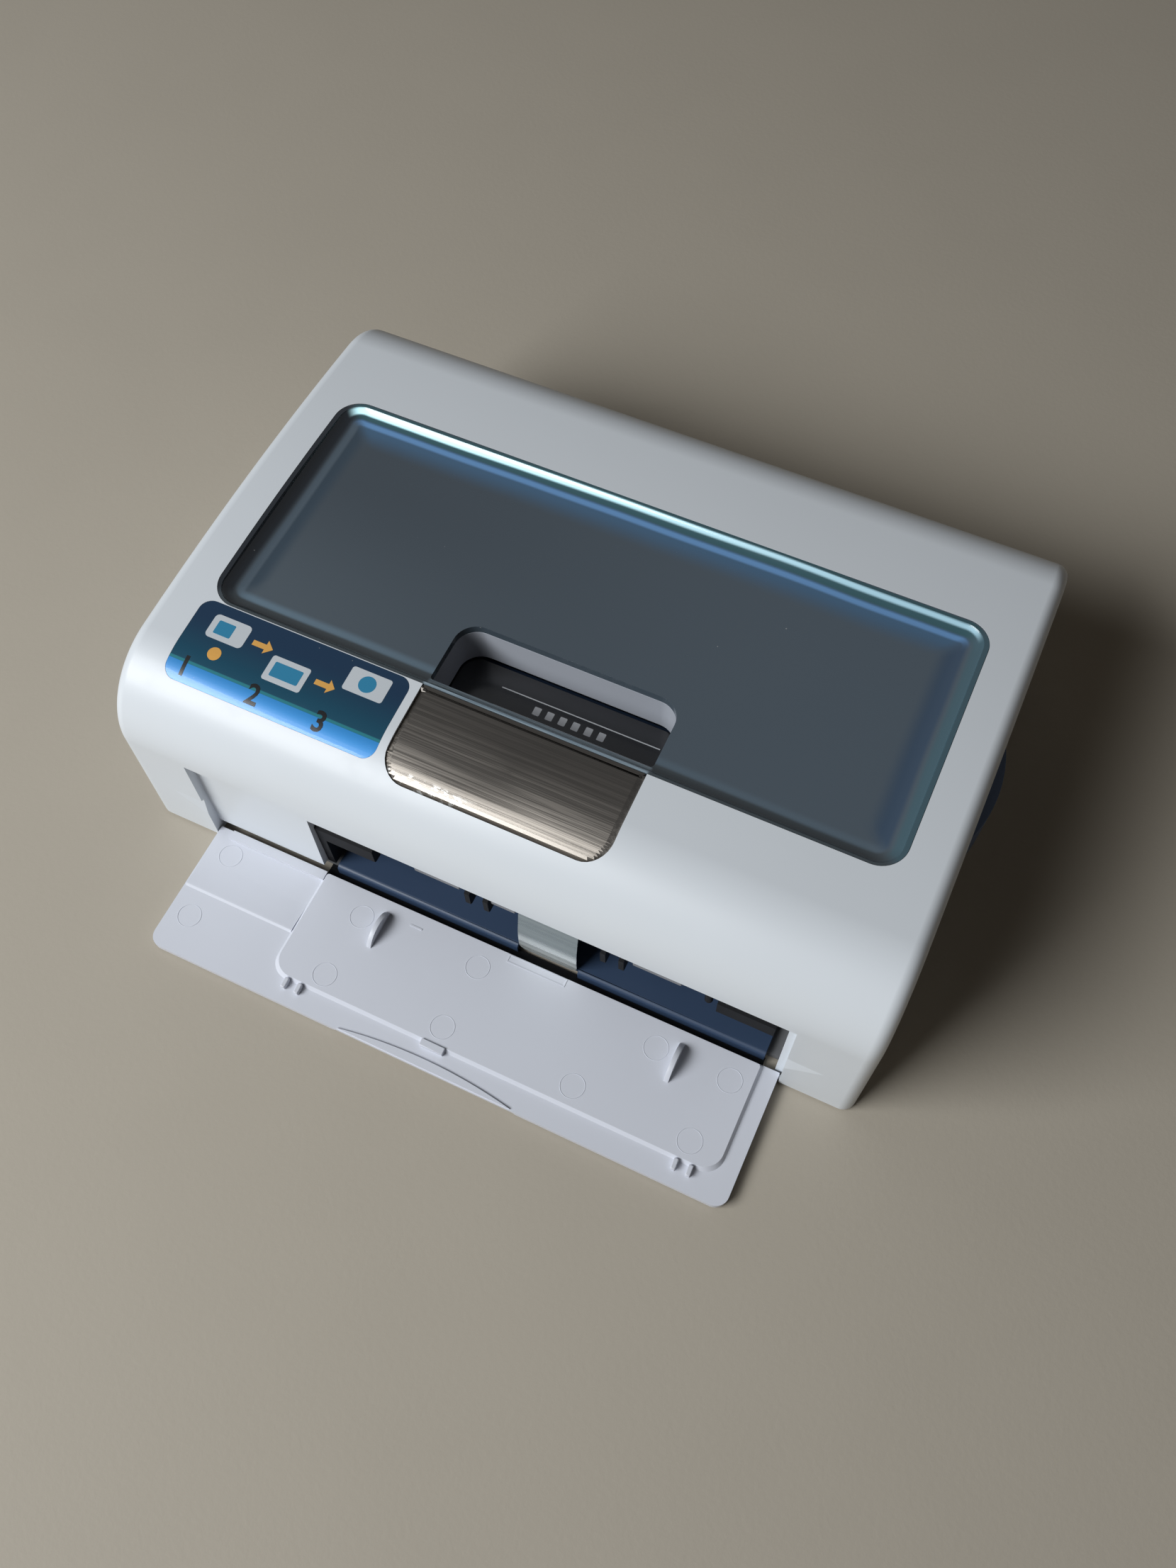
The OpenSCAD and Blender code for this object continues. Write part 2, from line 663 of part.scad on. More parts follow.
// Flanged bushes that carry one shaft in both side plates
module bushes(c, r, bore) {
    for (side = [[left_plate[0], left_plate[1], 1], [right_plate[1], right_plate[0], -1]])
        difference() {
            union() {
                rod(min(side[0], side[1]), max(side[0], side[1]), c, r);
                rod(min(side[1], side[1] + side[2]), max(side[1], side[1] + side[2]), c, r + 1);
            }
            rod(-body_w, body_w, c, bore);
        }
}
module platen_bearings() color("ivory") bushes(platen_c, platen_bush_r, platen_shaft_r + RUN);
module capstan_bearings() color("ivory") bushes(capstan_c, bush_r, shaft_r + RUN);
module pickup_bearings() color("ivory") bushes(pickup_c, bush_r, shaft_r + RUN);
module pinch_holders() color("dimgray") {
    for (x = [[left_plate[1], -41.5], [65.5, right_plate[0]]])
        difference() {
            along_x(x[0], x[1]) polygon(rounded([pinch_c[0] - 3.2, 18.1, pinch_c[0] + 3.2, 24.4], 2, 0.5));
            rod(x[0] - CUT, x[1] + CUT, pinch_c, stud_r + RUN);
        }
}
module head_pivot_shaft() color("silver") rod(left_plate[0] - 1, right_plate[1] + 1, pivot_c, pivot_r);
module idler_studs() color("silver") {
    rod(layer_a[0] - 0.7, left_plate[0], reduction_c, stud_r);
    for (c = [idler_rear_c, idler_front_c])
        rod(layer_b[0] - 0.7, left_plate[0], c, stud_r);
}

// ---- Motor and electronics ----

module drive_motor() color("silver") difference() {
    union() {
        rod(motor_x[0], motor_x[1], motor_c, motor_r);
        rod(motor_x[1], motor_x[1] + 0.8, motor_c, motor_boss_r);
    }
    rod(motor_x[1] - 4.8, motor_x[1] + 1.2, motor_c, motor_shaft_r + RUN);
}
module motor_bracket() color("lightsteelblue") difference() {
    half = motor_r + 2;
    along_x(bracket_x[0], bracket_x[1])
        polygon(rounded([motor_c[0] - half, plate_top, motor_c[0] + half, motor_c[1] + half], 4, 0.5));
    rod(bracket_x[0] - CUT, bracket_x[1] + CUT, motor_c, motor_boss_r);
}
module main_board() color("darkgreen") difference() {
    block([board_x[0], board_y[0], board_z[0]], [board_x[1], board_y[1], board_z[1]]);
    for (p = board_screw_at)
        translate([p[0], board_y[0] - CUT, p[1]]) rotate([-90, 0, 0])
            cylinder(h = 4, r = board_screw_r + 0.2);
}
// Chips, as [x, z, width, height]
module board_chips() color("black") {
    for (chip = chips)
        block([chip[0], board_y[0] - chip_t, chip[1]], [chip[0] + chip[2], board_y[0], chip[1] + chip[3]]);
}
module board_screws() color("silver") {
    for (p = board_screw_at)
        translate([p[0], board_y[0], p[1]]) {
            rotate([90, 0, 0]) cylinder(h = 1.1, r = 2 * board_screw_r);
            translate([0, -0.1, 0]) rotate([-90, 0, 0]) cylinder(h = 4.6, r = board_screw_r);
        }
}
// Block about port_z at x, half = [half width, half height]
module port_block(x, half, y0, y1) {
    block([x - half[0], y0, port_z - half[1]], [x + half[0], y1, port_z + half[1]]);
}
module dc_inlet() color("black") {
    difference() {
        port_block(dc_x, dc_half, board_y[1], port_back);
        translate([dc_x, port_floor, port_z]) rotate([-90, 0, 0]) cylinder(h = 6, r = dc_bore_r);
    }
    translate([dc_x, port_floor - 0.5, port_z]) rotate([-90, 0, 0]) cylinder(h = 4.2, r = 0.7);
}
module usb_ports() color("silver") {
    difference() {
        port_block(usb_b_x, usb_b_half, board_y[1], port_back);
        port_block(usb_b_x, usb_b_mouth, port_floor, port_back + CUT);
    }
    port_block(usb_b_x, [2.8, 1.6], port_floor - 0.1, port_back - 0.6);
    difference() {
        port_block(usb_a_x, usb_a_half, board_y[1], port_back);
        port_block(usb_a_x, usb_a_mouth, port_floor, port_back + CUT);
    }
    translate([0, 0, 1]) port_block(usb_a_x, [5.6, 0.8], port_floor - 0.1, port_back - 0.6);
}
module switch_board() color("darkgreen") {
    block([rail_x, rail_ys[0], rail_z[0]], [rail_x + 1.2, rail_ys[1] + 2, rail_z[1]]);
    block([rail_x - 1.2, -37, button_box[1]], [rail_x, -31, button_box[3]]);
}
module power_lamp() color("palegreen") rod(-body_w / 2, rail_x, lamp_at, lamp_r);
module power_button() color("silver") {
    flange = [-inner_x + 0.2, -inner_x + 0.8];
    along_x(-body_w / 2 - 0.6, flange[0]) polygon(rounded(button_box, button_r, button_r));
    along_x(flange[0], flange[1]) polygon(rounded(grown(button_box, 1.5), 2.5, 2.5));
    rod(flange[1], rail_x - 2.1, [-34, lamp_at[1]], 1);
}

// ---- Ribbon cassette ----

module housing_outline(c) {
    polygon(rounded([c[0] - housing_half, housing_z[0], c[0] + housing_half, housing_z[1]], 3.5, 3));
}
module spool_housing(c) {
    difference() {
        along_x(cassette_x[0], cassette_x[1]) housing_outline(c);
        rod(cassette_x[0] + 2, cassette_x[1] - 3, c, chamber_r);
        rod(cassette_x[0] - CUT, cassette_x[0] + 3, c, journal_r + RUN);
        rod(cassette_x[1] - 4, cassette_x[1] - 1, c, spool_foot_r + RUN);
    }
}
module cassette_case() color("darkslateblue") {
    spool_housing(supply_c);
    spool_housing(takeup_c);
}
// Low bridges that join the two housings, under the print head's way
module cassette_bridges() color("darkslateblue") difference() {
    for (x = [[cassette_x[0], cassette_x[0] + 3], [68, cassette_x[1]]])
        block([x[0], supply_c[0] + housing_half - 2, bridge_z[0]],
            [x[1], takeup_c[0] - housing_half + 2, bridge_z[1]]);
    for (c = [supply_c, takeup_c])
        along_x(cassette_x[0] - CUT, cassette_x[1] + CUT) housing_outline(c);
}
module cassette_label() color("black") {
    between(housing_z[1], housing_z[1] + 0.2) polygon(rounded([-28, -27.3, 28, -12.7], 1, 1));
}
module cassette_grip() color("midnightblue") {
    bulge_r = (grip_half * grip_half + grip_out * grip_out) / (2 * grip_out);
    side = body_w / 2;
    along_x(cassette_x[1], side) polygon(rounded(grown(cassette_door, -GAP), corner_r, corner_r));
    intersection() {
        translate([side + grip_out - bulge_r, grip_y, grip_z[0]])
            cylinder(h = grip_z[1] - grip_z[0], r = bulge_r, $fn = 180);
        block([side - 0.1, grip_y - 28, 19], [side + 10, grip_y + 28, 40]);
    }
}
module ribbon_web() color("dimgray", 0.8) {
    y0 = supply_c[0] + housing_half;
    y1 = takeup_c[0] - housing_half;
    along_x(film_x[0], film_x[1]) polygon([[y0, 23.4], [y0 + 2.4, 18.8], [y1 - 2.4, 18.8], [y1, 23.4],
        [y1, 23.1], [y1 - 2.3, 18.6], [y0 + 2.3, 18.6], [y0, 23.1]]);
}
// A spool stands out of its housing on the left, where its coupler enters it
module spool(c) {
    difference() {
        union() {
            rod(cassette_x[0] - spool_out, cassette_x[0] + 3, c, journal_r);
            rod(cassette_x[0] + 2.4, cassette_x[1] - 3.4, c, core_r);
            rod(cassette_x[1] - 3.5, cassette_x[1] - 1.4, c, spool_foot_r);
        }
        hexagon_bar(cassette_x[0] - spool_out - CUT, cassette_x[0] + 1, c, socket_r);
    }
}
module supply_spool() color("white") spool(supply_c);
module takeup_spool() color("white") spool(takeup_c);
module supply_film() color("goldenrod") tube(film_x[0], film_x[1], supply_c, supply_film_r, core_r);
module takeup_film() color("black") tube(film_x[0], film_x[1], takeup_c, takeup_film_r, core_r);

// ---- Rollers ----

module platen_shaft() color("silver") {
    rod(left_plate[0] - 1.1, right_plate[1] + 0.8, platen_c, platen_shaft_r);
}
module platen_rubber() color("black") tube(paper_x[0], paper_x[1], platen_c, platen_r, platen_shaft_r);
module capstan_roller() color("silver") {
    rod(layer_b[0] - 0.4, right_plate[1] + 0.8, capstan_c, shaft_r);
    rod(paper_x[0] - 2, paper_x[1] + 2, capstan_c, capstan_r);
}
module capstan_gear() color("ivory") difference() {
    gear(layer_b, capstan_c, capstan_t, capstan_phase);
    rod(layer_b[0] - CUT, layer_b[1] + CUT, capstan_c, shaft_r);
}
module pinch_roller() color("dimgray") {
    rod(paper_x[0], paper_x[1], pinch_c, pinch_r);
    rod(-46, paper_x[0] + CUT, pinch_c, stud_r);
    rod(paper_x[1] - CUT, 70, pinch_c, stud_r);
}
module pickup_shaft() color("silver") rod(layer_b[0] - 0.4, right_plate[1] + 0.8, pickup_c, shaft_r);
module pickup_tyres() color("black") {
    for (x = pickup_xs)
        tube(x[0], x[1], pickup_c, tyre_r, shaft_r);
}
module pickup_gear() color("ivory") difference() {
    gear(layer_b, pickup_c, pickup_t, pickup_phase);
    rod(layer_b[0] - CUT, layer_b[1] + CUT, pickup_c, shaft_r);
}

// ---- Gears between the motor and the rollers ----

module motor_pinion() color("goldenrod") {
    gear([layer_a[0], layer_b[1]], motor_c, pinion_t, motor_phase);
    rod(motor_x[1] - 3.8, layer_a[0] + CUT, motor_c, motor_shaft_r);
}
module reduction_gear() color("ivory") difference() {
    union() {
        gear(layer_a, reduction_c, reduction_big_t, reduction_big_phase);
        rod(layer_a[1] - 0.1, layer_b[0] + 0.1, reduction_c, 3.4);
        gear(layer_b, reduction_c, reduction_small_t, reduction_small_phase);
        rod(layer_b[1] - 0.1, left_plate[0] - GAP, reduction_c, stud_r + 1);
    }
    rod(layer_a[0] - CUT, left_plate[0], reduction_c, stud_r + RUN);
}
// Coupler that drives a spool through the left side plate
module drive_hex(c) {
    rod(layer_b[1] - 0.1, left_plate[1] + 0.4, c, shaft_r);
    hexagon_bar(left_plate[1], cassette_x[0] - GAP, c, drive_r);
}
module takeup_gear() color("ivory") {
    gear(layer_b, takeup_c, takeup_t, takeup_phase);
    drive_hex(takeup_c);
}
module supply_hub() color("ivory") {
    rod(layer_b[1] + 0.4, left_plate[0] - GAP, supply_c, journal_r);
    intersection() {
        drive_hex(supply_c);
        block([layer_b[1] + 0.5, -body_d, 0], [0, 0, body_h]);
    }
}
module idler(c, phase) {
    difference() {
        union() {
            gear(layer_b, c, idler_t, phase);
            rod(layer_b[1] - 0.1, left_plate[0] - GAP, c, stud_r + 1);
        }
        rod(layer_b[0] - CUT, left_plate[0], c, stud_r + RUN);
    }
}
module idler_gear_rear() color("ivory") idler(idler_rear_c, idler_rear_phase);
module idler_gear_front() color("ivory") idler(idler_front_c, idler_front_phase);

// ---- Print head ----

module head_arm() color("lightsteelblue") {
    block([paper_x[0], head_y[0], arm_z[0]], [paper_x[1], 46, arm_z[1]]);
    for (x = [paper_x[0], paper_x[1] - arm_t])
        difference() {
            along_x(x, x + arm_t) polygon(concat(
                [[ear_y[1], arm_z[1]], [ear_y[0], arm_z[1]], [ear_y[0], 40.5]],
                arc(pivot_c, 4, 225, 360, 8)));
            rod(x - CUT, x + arm_t + CUT, pivot_c, pivot_r + RUN);
        }
}
module head_heatsink() color("silver") {
    block([paper_x[0], head_y[0], 38], [paper_x[1], head_y[1], arm_z[0]]);
    for (i = [0:3])
        block([paper_x[0], head_y[0] + 2.8 * i, 27], [paper_x[1], head_y[0] + 1.6 + 2.8 * i, 38.1]);
    block([paper_x[0], head_y[0], head_foot], [paper_x[1], head_y[1], 27.1]);
}
module thermal_head() color("ivory") {
    block([paper_x[0], head_plate[0], head_low], [paper_x[1], head_plate[1], head_foot]);
}

upper_case();
bottom_case();
window_panel();
pocket_well();
badge_plate();
instruction_label();
feed_tray();
front_guide();
guide_bars();
pressure_leaf();
left_side_plate();
right_side_plate();
chassis_tie_bar();
paper_deck();
rear_paper_guide();
platen_bearings();
capstan_bearings();
pickup_bearings();
pinch_holders();
head_pivot_shaft();
idler_studs();
drive_motor();
motor_bracket();
main_board();
board_chips();
dc_inlet();
usb_ports();
switch_board();
power_lamp();
rubber_feet();
case_screws();
board_screws();
front_door();
power_button();
cassette_case();
cassette_bridges();
cassette_label();
cassette_grip();
ribbon_web();
supply_spool();
supply_film();
takeup_spool();
takeup_film();
platen_shaft();
platen_rubber();
capstan_roller();
capstan_gear();
pinch_roller();
pickup_shaft();
pickup_tyres();
pickup_gear();
motor_pinion();
reduction_gear();
takeup_gear();
supply_hub();
idler_gear_rear();
idler_gear_front();
head_arm();
head_heatsink();
thermal_head();
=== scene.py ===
"""Compact photo printer, shown with its front door open: the fine pieces, finishes and light
that stand around the packed solids. Modelled in millimetres and turned to metres at the end."""
import json
import math

import bmesh
import bpy
from mathutils import Matrix, Vector


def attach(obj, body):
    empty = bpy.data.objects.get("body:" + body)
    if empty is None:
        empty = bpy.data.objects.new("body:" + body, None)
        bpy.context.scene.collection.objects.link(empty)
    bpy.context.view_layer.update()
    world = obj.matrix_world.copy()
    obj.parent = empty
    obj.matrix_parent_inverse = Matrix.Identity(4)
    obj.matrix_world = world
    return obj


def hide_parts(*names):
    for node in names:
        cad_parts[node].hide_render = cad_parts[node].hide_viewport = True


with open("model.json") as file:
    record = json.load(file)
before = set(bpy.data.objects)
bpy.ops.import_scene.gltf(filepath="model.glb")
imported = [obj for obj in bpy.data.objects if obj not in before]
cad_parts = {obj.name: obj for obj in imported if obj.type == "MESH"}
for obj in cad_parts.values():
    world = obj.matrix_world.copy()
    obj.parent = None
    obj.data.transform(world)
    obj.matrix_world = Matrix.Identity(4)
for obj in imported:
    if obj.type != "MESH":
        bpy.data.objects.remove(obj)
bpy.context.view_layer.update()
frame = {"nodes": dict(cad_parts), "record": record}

bl_info = {
    "name": "Compact Photo Printer",
    "version": (1, 0, 0),
    "blender": (4, 5, 0),
    "location": "3D View > Sidebar > Photo Printer",
    "description": "Builds a compact photo printer with its front door open",
    "category": "Add Mesh",
}

MM = 0.001

# Shell: overall sizes, the lean of its front and back walls, and its rolled edges
BODY_W, BODY_D, BODY_H = 172.8, 122.0, 54.0
WALL = 2.2
LEAN = math.radians(1.8)
FRONT_ROLL, BACK_ROLL = 20.0, 15.0
CROWN_R, CROWN_Y = 600.0, -3.0
CROWN_Z = BODY_H - CROWN_R
FOOT_Z = 0.5
INNER_X = BODY_W / 2 - WALL

# Front door, its recess and the paper slot
AXIS_Y, AXIS_Z = -60.1, 1.5
DOOR_X, DOOR_LEN = 69.7, 30.7
RECESS_X, RECESS_TOP = 70.0, 32.4
SLOT_X0, SLOT_X1 = -42.0, 68.4

# Plan outlines of what is let into the top, as x0, y0, x1, y1
WINDOW = (-76.4, -30.4, 76.4, 30.0)
POCKET = (-24.9, -27.9, 24.9, -12.1)
BADGE = (-24.7, -51.1, 24.7, -30.5)
LABEL = (-76.3, -49.4, -26.7, -30.6)

# Heights in the top: the panel's foot and floor, the pocket's foot, and a level over all of it for the tools
PANEL_FOOT, WINDOW_FLOOR, POCKET_FOOT, OVER_TOP = 49.3, 51.3, 39.6, 57

# Let into the ends, as y0, z0, y1, z1: the cassette's plate and the button's opening, with the lamp beside it
CASSETTE_PLATE = (-31.2, 18.7, 39.2, 40.2)
BUTTON_HOLE = (-40.3, 35.7, -27.7, 42.3)
LAMP_AT, LAMP_R = (-23, 39), 1.1

# Back: where the tools for its openings start, and the height of its sockets
BACK_INSIDE, SOCKET_Z = 54, 35.5

# Open door, from its hinge axis: its inner edge, then the heights of its underside, its top and its pad's top
DOOR_FOOT, DOOR_UNDER, DOOR_TOP, PAD_TOP = -0.6, -0.84, 0.9, 1.8
SCOOP_HALF, SCOOP_DEPTH = 22.3, 2.1

# Inside the slot: the tray's ends, top and lip, the guide's ends, front, back and beam, and the spring's ends
TRAY_X, TRAY_TOP, TRAY_LIP = (-39.3, 65.5), 4.2, -57.95
GUIDE_X, GUIDE_FRONT, GUIDE_BACK, BEAM_Z = (-41.8, 65.7), -57.2, -54.5, 33
LEAF_X = (7, 21)

# Ribbon cassette: how far its grip stands out, half its width, its middle and its heights, and the card's top
GRIP_OUT, GRIP_HALF, GRIP_Y, GRIP_Z = 3.0, 14.0, 3.5, (23, 36)
CARD_TOP = 39.1

# Focal length and height of the photo in pixels, the sensor that stands for that height, and half the table's side
FOCAL_PX, PHOTO_PX, SENSOR = 1937.6, 2212, 36.0
TABLE_HALF = 3.0


# ---- Sizes and colours that a user would change ----

def length(name, description, value):
    return bpy.props.FloatProperty(
        name=name, description=description, default=value * MM, min=0.0, unit="LENGTH", precision=5)


def colour(name, description, value):
    return bpy.props.FloatVectorProperty(
        name=name, description=description, default=value, min=0.0, max=1.0, size=3, subtype="COLOR")


class PrinterSizes(bpy.types.PropertyGroup):
    end_edge: length("End Edge", "Radius of the edges at the two ends of the shell", 3.0)
    badge_chamfer: length("Badge Chamfer", "Width of the bevel round the metal plate", 1.3)
    label_corner: length("Label Corner", "Corner radius of the printed label", 2.8)
    ring_radius: length("Ejector Mark", "Radius of the ejector marks in the door", 2.7)


class PrinterColours(bpy.types.PropertyGroup):
    shell: colour("Shell", "Cool white of the shell", (0.73, 0.768, 0.812))
    door: colour("Door", "Inside of the door", (0.70, 0.72, 0.79))
    smoke: colour("Window", "Smoky plastic of the top panel", (0.062, 0.083, 0.104))
    # Painted glow: the tint that the panel's back slope is lit with, though it is no lamp.
    glow: colour("Window Edge", "Tint that lights up along the panel's back slope", (0.50, 0.80, 0.95))
    badge: colour("Badge", "Dark brushed metal", (0.125, 0.112, 0.098))
    navy: colour("Navy", "Dark blue of the tray and the ribbon cassette", (0.034, 0.060, 0.115))
    label: colour("Label", "Ground of the printed label", (0.004, 0.030, 0.075))
    band: colour("Label Band", "Bright band of the printed label", (0.035, 0.32, 0.80))


class StudioLight(bpy.types.PropertyGroup):
    floor: colour("Floor", "Colour of the table", (0.475, 0.428, 0.357))
    key: bpy.props.FloatProperty(
        name="Key", description="Power of the large window light in front", default=12.3, min=0.0, unit="POWER")
    fill: bpy.props.FloatProperty(
        name="Fill", description="Strength of the even light all round", default=0.035, min=0.0)


# ---- Modelling helpers, all in millimetres ----

def on_axis(axis, level, pair=(0, 0)):
    """The point at level on axis whose other two coordinates are the pair."""
    point = list(pair)
    point.insert("XYZ".index(axis), level)
    return tuple(point)


def moved(bm, step):
    bmesh.ops.translate(bm, vec=step, verts=bm.verts)
    return bm


def outward(bm):
    """Turns the normals of a closed mesh outwards."""
    bmesh.ops.recalc_face_normals(bm, faces=bm.faces[:])
    return bm


def poly(corners, axis="Z", level=0.0):
    """A mesh of one face through 2D corners, across axis at level."""
    bm = bmesh.new()
    bm.faces.new([bm.verts.new(on_axis(axis, level, corner)) for corner in corners])
    return bm


def cut_bevel(bm, geom, width, segments, affect="EDGES", clamp=False, **more):
    """Rounds the given edges or corners by an offset."""
    bmesh.ops.bevel(bm, geom=geom, offset=width, offset_type="OFFSET", segments=segments, profile=0.5,
                    affect=affect, material=-1, clamp_overlap=clamp, **more)


def round_corners(bm, radii, segments=8):
    """Rounds the corners of a one-face mesh, each with its own radius."""
    bm.verts.ensure_lookup_table()
    for vert, radius in zip(list(bm.verts), radii):
        if radius > 0:
            one, two = (edge.other_vert(vert).co - vert.co for edge in vert.link_edges)
            cut_bevel(bm, [vert], radius / math.tan(one.angle(two) / 2), segments, "VERTICES")
    return bm


def raise_face(bm, step):
    """Pulls every face of a flat mesh out by step into a closed slab."""
    made = bmesh.ops.extrude_face_region(bm, geom=bm.faces[:], use_keep_orig=True)["geom"]
    bmesh.ops.translate(bm, vec=step, verts=[g for g in made if isinstance(g, bmesh.types.BMVert)])
    return outward(bm)


def bar(corners, axis, start, end, radii=None, segments=8):
    """A bar along axis whose cross-section is the given polygon, with rounded corners."""
    bm = poly(corners, axis, start)
    if radii:
        round_corners(bm, radii, segments)
    return raise_face(bm, on_axis(axis, end - start))


def rectangle(x0, y0, x1, y1):
    return [(x0, y0), (x1, y0), (x1, y1), (x0, y1)]


def grown(box, by):
    return (box[0] - by, box[1] - by, box[2] + by, box[3] + by)


def arc_radius(half, rise):
    """Radius of the arc that rises by rise over half its width."""
    return (half ** 2 + rise ** 2) / (2 * rise)


def slab(box, z0, z1, front=0.0, back=None, segments=8):
    """A flat slab with rounded corners in front and behind."""
    back = front if back is None else back
    return bar(rectangle(*box), "Z", z0, z1, (front, front, back, back), segments)


def ring(box, radius, level):
    """Points round a rounded rectangle, the same count for every box."""
    segments = 12
    corners = ((box[2], box[3], 0), (box[0], box[3], 90), (box[0], box[1], 180), (box[2], box[1], 270))
    middle = Vector(((box[0] + box[2]) / 2, (box[1] + box[3]) / 2))
    points = []
    for x, y, start in corners:
        centre = (x - math.copysign(radius, x - middle.x), y - math.copysign(radius, y - middle.y))
        for i in range(segments + 1):
            angle = math.radians(start + 90 * i / segments)
            points.append((centre[0] + radius * math.cos(angle), centre[1] + radius * math.sin(angle), level))
    return points


def loft(rings):
    """A closed skin through rings of the same count, from the first to the last."""
    bm = bmesh.new()
    rows = [[bm.verts.new(point) for point in row] for row in rings]
    for one, two in zip(rows, rows[1:]):
        for i in range(len(one)):
            j = (i + 1) % len(one)
            bm.faces.new((one[i], one[j], two[j], two[i]))
    bm.faces.new(rows[0])
    bm.faces.new(rows[-1])
    return outward(bm)


def block(low, high):
    bm = bmesh.new()
    bmesh.ops.create_cube(bm, size=1.0)
    low, high = Vector(low), Vector(high)
    bmesh.ops.scale(bm, vec=high - low, verts=bm.verts)
    return moved(bm, (low + high) / 2)


def rod(start, end, centre, radius, axis="X", segments=32):
    """A round bar along axis, from start to end, about a 2D centre."""
    bm = bmesh.new()
    bmesh.ops.create_cone(bm, cap_ends=True, segments=segments, radius1=radius, radius2=radius, depth=end - start)
    turn = {"X": Matrix.Rotation(math.pi / 2, 3, "Y"), "Y": Matrix.Rotation(-math.pi / 2, 3, "X"),
            "Z": Matrix.Identity(3)}[axis]
    bmesh.ops.rotate(bm, cent=(0, 0, 0), matrix=turn, verts=bm.verts)
    return moved(bm, on_axis(axis, (start + end) / 2, centre))


def joined(*parts):
    """Several closed meshes as one, each part left whole."""
    whole = bmesh.new()
    for part in parts:
        spare = bpy.data.meshes.new("spare")
        part.to_mesh(spare)
        part.free()
        whole.from_mesh(spare)
        bpy.data.meshes.remove(spare)
    return whole


def carve(solid, operation, *tools):
    """Boolean of a closed mesh with each tool in turn; the tools are used up."""
    for tool in tools:
        pair = []
        for name, source in (("host", solid), ("tool", tool)):
            mesh = bpy.data.meshes.new(name)
            source.to_mesh(mesh)
            source.free()
            pair.append(bpy.data.objects.new(name, mesh))
            bpy.context.scene.collection.objects.link(pair[-1])
        cut = pair[0].modifiers.new("cut", "BOOLEAN")
        cut.object, cut.operation, cut.solver = pair[1], operation, "EXACT"
        result = bpy.data.meshes.new_from_object(
            pair[0].evaluated_get(bpy.context.evaluated_depsgraph_get()))
        solid = bmesh.new()
        solid.from_mesh(result)
        bpy.data.meshes.remove(result)
        for spare in pair:
            mesh = spare.data
            bpy.data.objects.remove(spare)
            bpy.data.meshes.remove(mesh)
    bmesh.ops.remove_doubles(solid, verts=solid.verts, dist=1e-4)
    return solid


def slice_depth(bm, start, end, step):
    """Cuts a mesh across Y by evenly spaced planes, so that it can bend over the crown."""
    for i in range(int((end - start) / step) + 1):
        bmesh.ops.bisect_plane(
            bm, geom=bm.verts[:] + bm.edges[:] + bm.faces[:], dist=1e-5, plane_co=(0, start + i * step, 0),
            plane_no=(0, 1, 0))


def soften(bm, width, segments=2, angle=30.0):
    """Rounds every edge sharper than angle."""
    sharp = [e for e in bm.edges if len(e.link_faces) == 2 and e.calc_face_angle(0) > math.radians(angle)]
    cut_bevel(bm, sharp, width, segments, clamp=True)
    return bm


def spin(bm, geom, centre, axis, angle, steps, merge=False):
    """Turns geom round an axis and returns what stands at the end."""
    return bmesh.ops.spin(
        bm, geom=geom, cent=centre, axis=axis, dvec=(0, 0, 0), angle=angle, steps=steps, use_merge=merge,
        use_normal_flip=False, use_duplicate=False)["geom_last"]


# ---- The shell's cross-section ----

def wall_y(side, z, inset=0.0):
    """Where the front (-1) or back (1) wall stands at height z, moved in by inset."""
    return side * (BODY_D / 2 - math.tan(LEAN) * z - inset / math.cos(LEAN))


def roll_centre(side, radius):
    """Centre of the arc that joins a leaning wall to the crown."""
    slope, half = math.tan(LEAN), BODY_D / 2 - radius / math.cos(LEAN)
    across, away = half - side * CROWN_Y, CROWN_R - radius
    b = slope * across + CROWN_Z
    z = (b + math.sqrt(b * b - (1 + slope ** 2) * (across ** 2 + CROWN_Z ** 2 - away ** 2))) / (1 + slope ** 2)
    return side * (half - slope * z), z


def crown_angle(side, radius):
    y, z = roll_centre(side, radius)
    return math.atan2(z - CROWN_Z, y - CROWN_Y)


def skin_z(y, inset=0.0):
    """Height of the shell's top at depth y."""
    for side, radius in ((-1, FRONT_ROLL), (1, BACK_ROLL)):
        centre, angle = roll_centre(side, radius), crown_angle(side, radius)
        if side * y > side * (centre[0] + radius * math.cos(angle)):
            return centre[1] + math.sqrt((radius - inset) ** 2 - (y - centre[0]) ** 2)
    return CROWN_Z + math.sqrt((CROWN_R - inset) ** 2 - (y - CROWN_Y) ** 2)


def section_bar(x0, x1, inset=0.0, foot=FOOT_Z, fineness=1.0):
    """The shell's cross-section, traced by turning a point round each roll, drawn out along X."""
    bm = bmesh.new()

    def line_to(vert, y, z):
        new = bmesh.ops.extrude_vert_indiv(bm, verts=[vert])["verts"][0]
        new.co = (x0, y, z)
        return new

    def turn(vert, centre, start, end, steps):
        return spin(bm, [vert], (x0, *centre), (1, 0, 0), end - start, max(3, int(steps * fineness)))[0]

    back, front = crown_angle(1, BACK_ROLL), crown_angle(-1, FRONT_ROLL)
    first = bm.verts.new((x0, wall_y(1, foot, inset), foot))
    centre = roll_centre(1, BACK_ROLL)
    reach = BACK_ROLL - inset
    last = line_to(first, centre[0] + reach * math.cos(LEAN), centre[1] + reach * math.sin(LEAN))
    last = turn(last, centre, LEAN, back, 64)
    last = turn(last, (CROWN_Y, CROWN_Z), back, front, 36)
    last = turn(last, roll_centre(-1, FRONT_ROLL), front, math.pi - LEAN, 76)
    last = line_to(last, wall_y(-1, foot, inset), foot)
    bm.edges.new((last, first))
    bmesh.ops.contextual_create(bm, geom=bm.edges[:])
    return raise_face(bm, Vector((x1 - x0, 0, 0)))


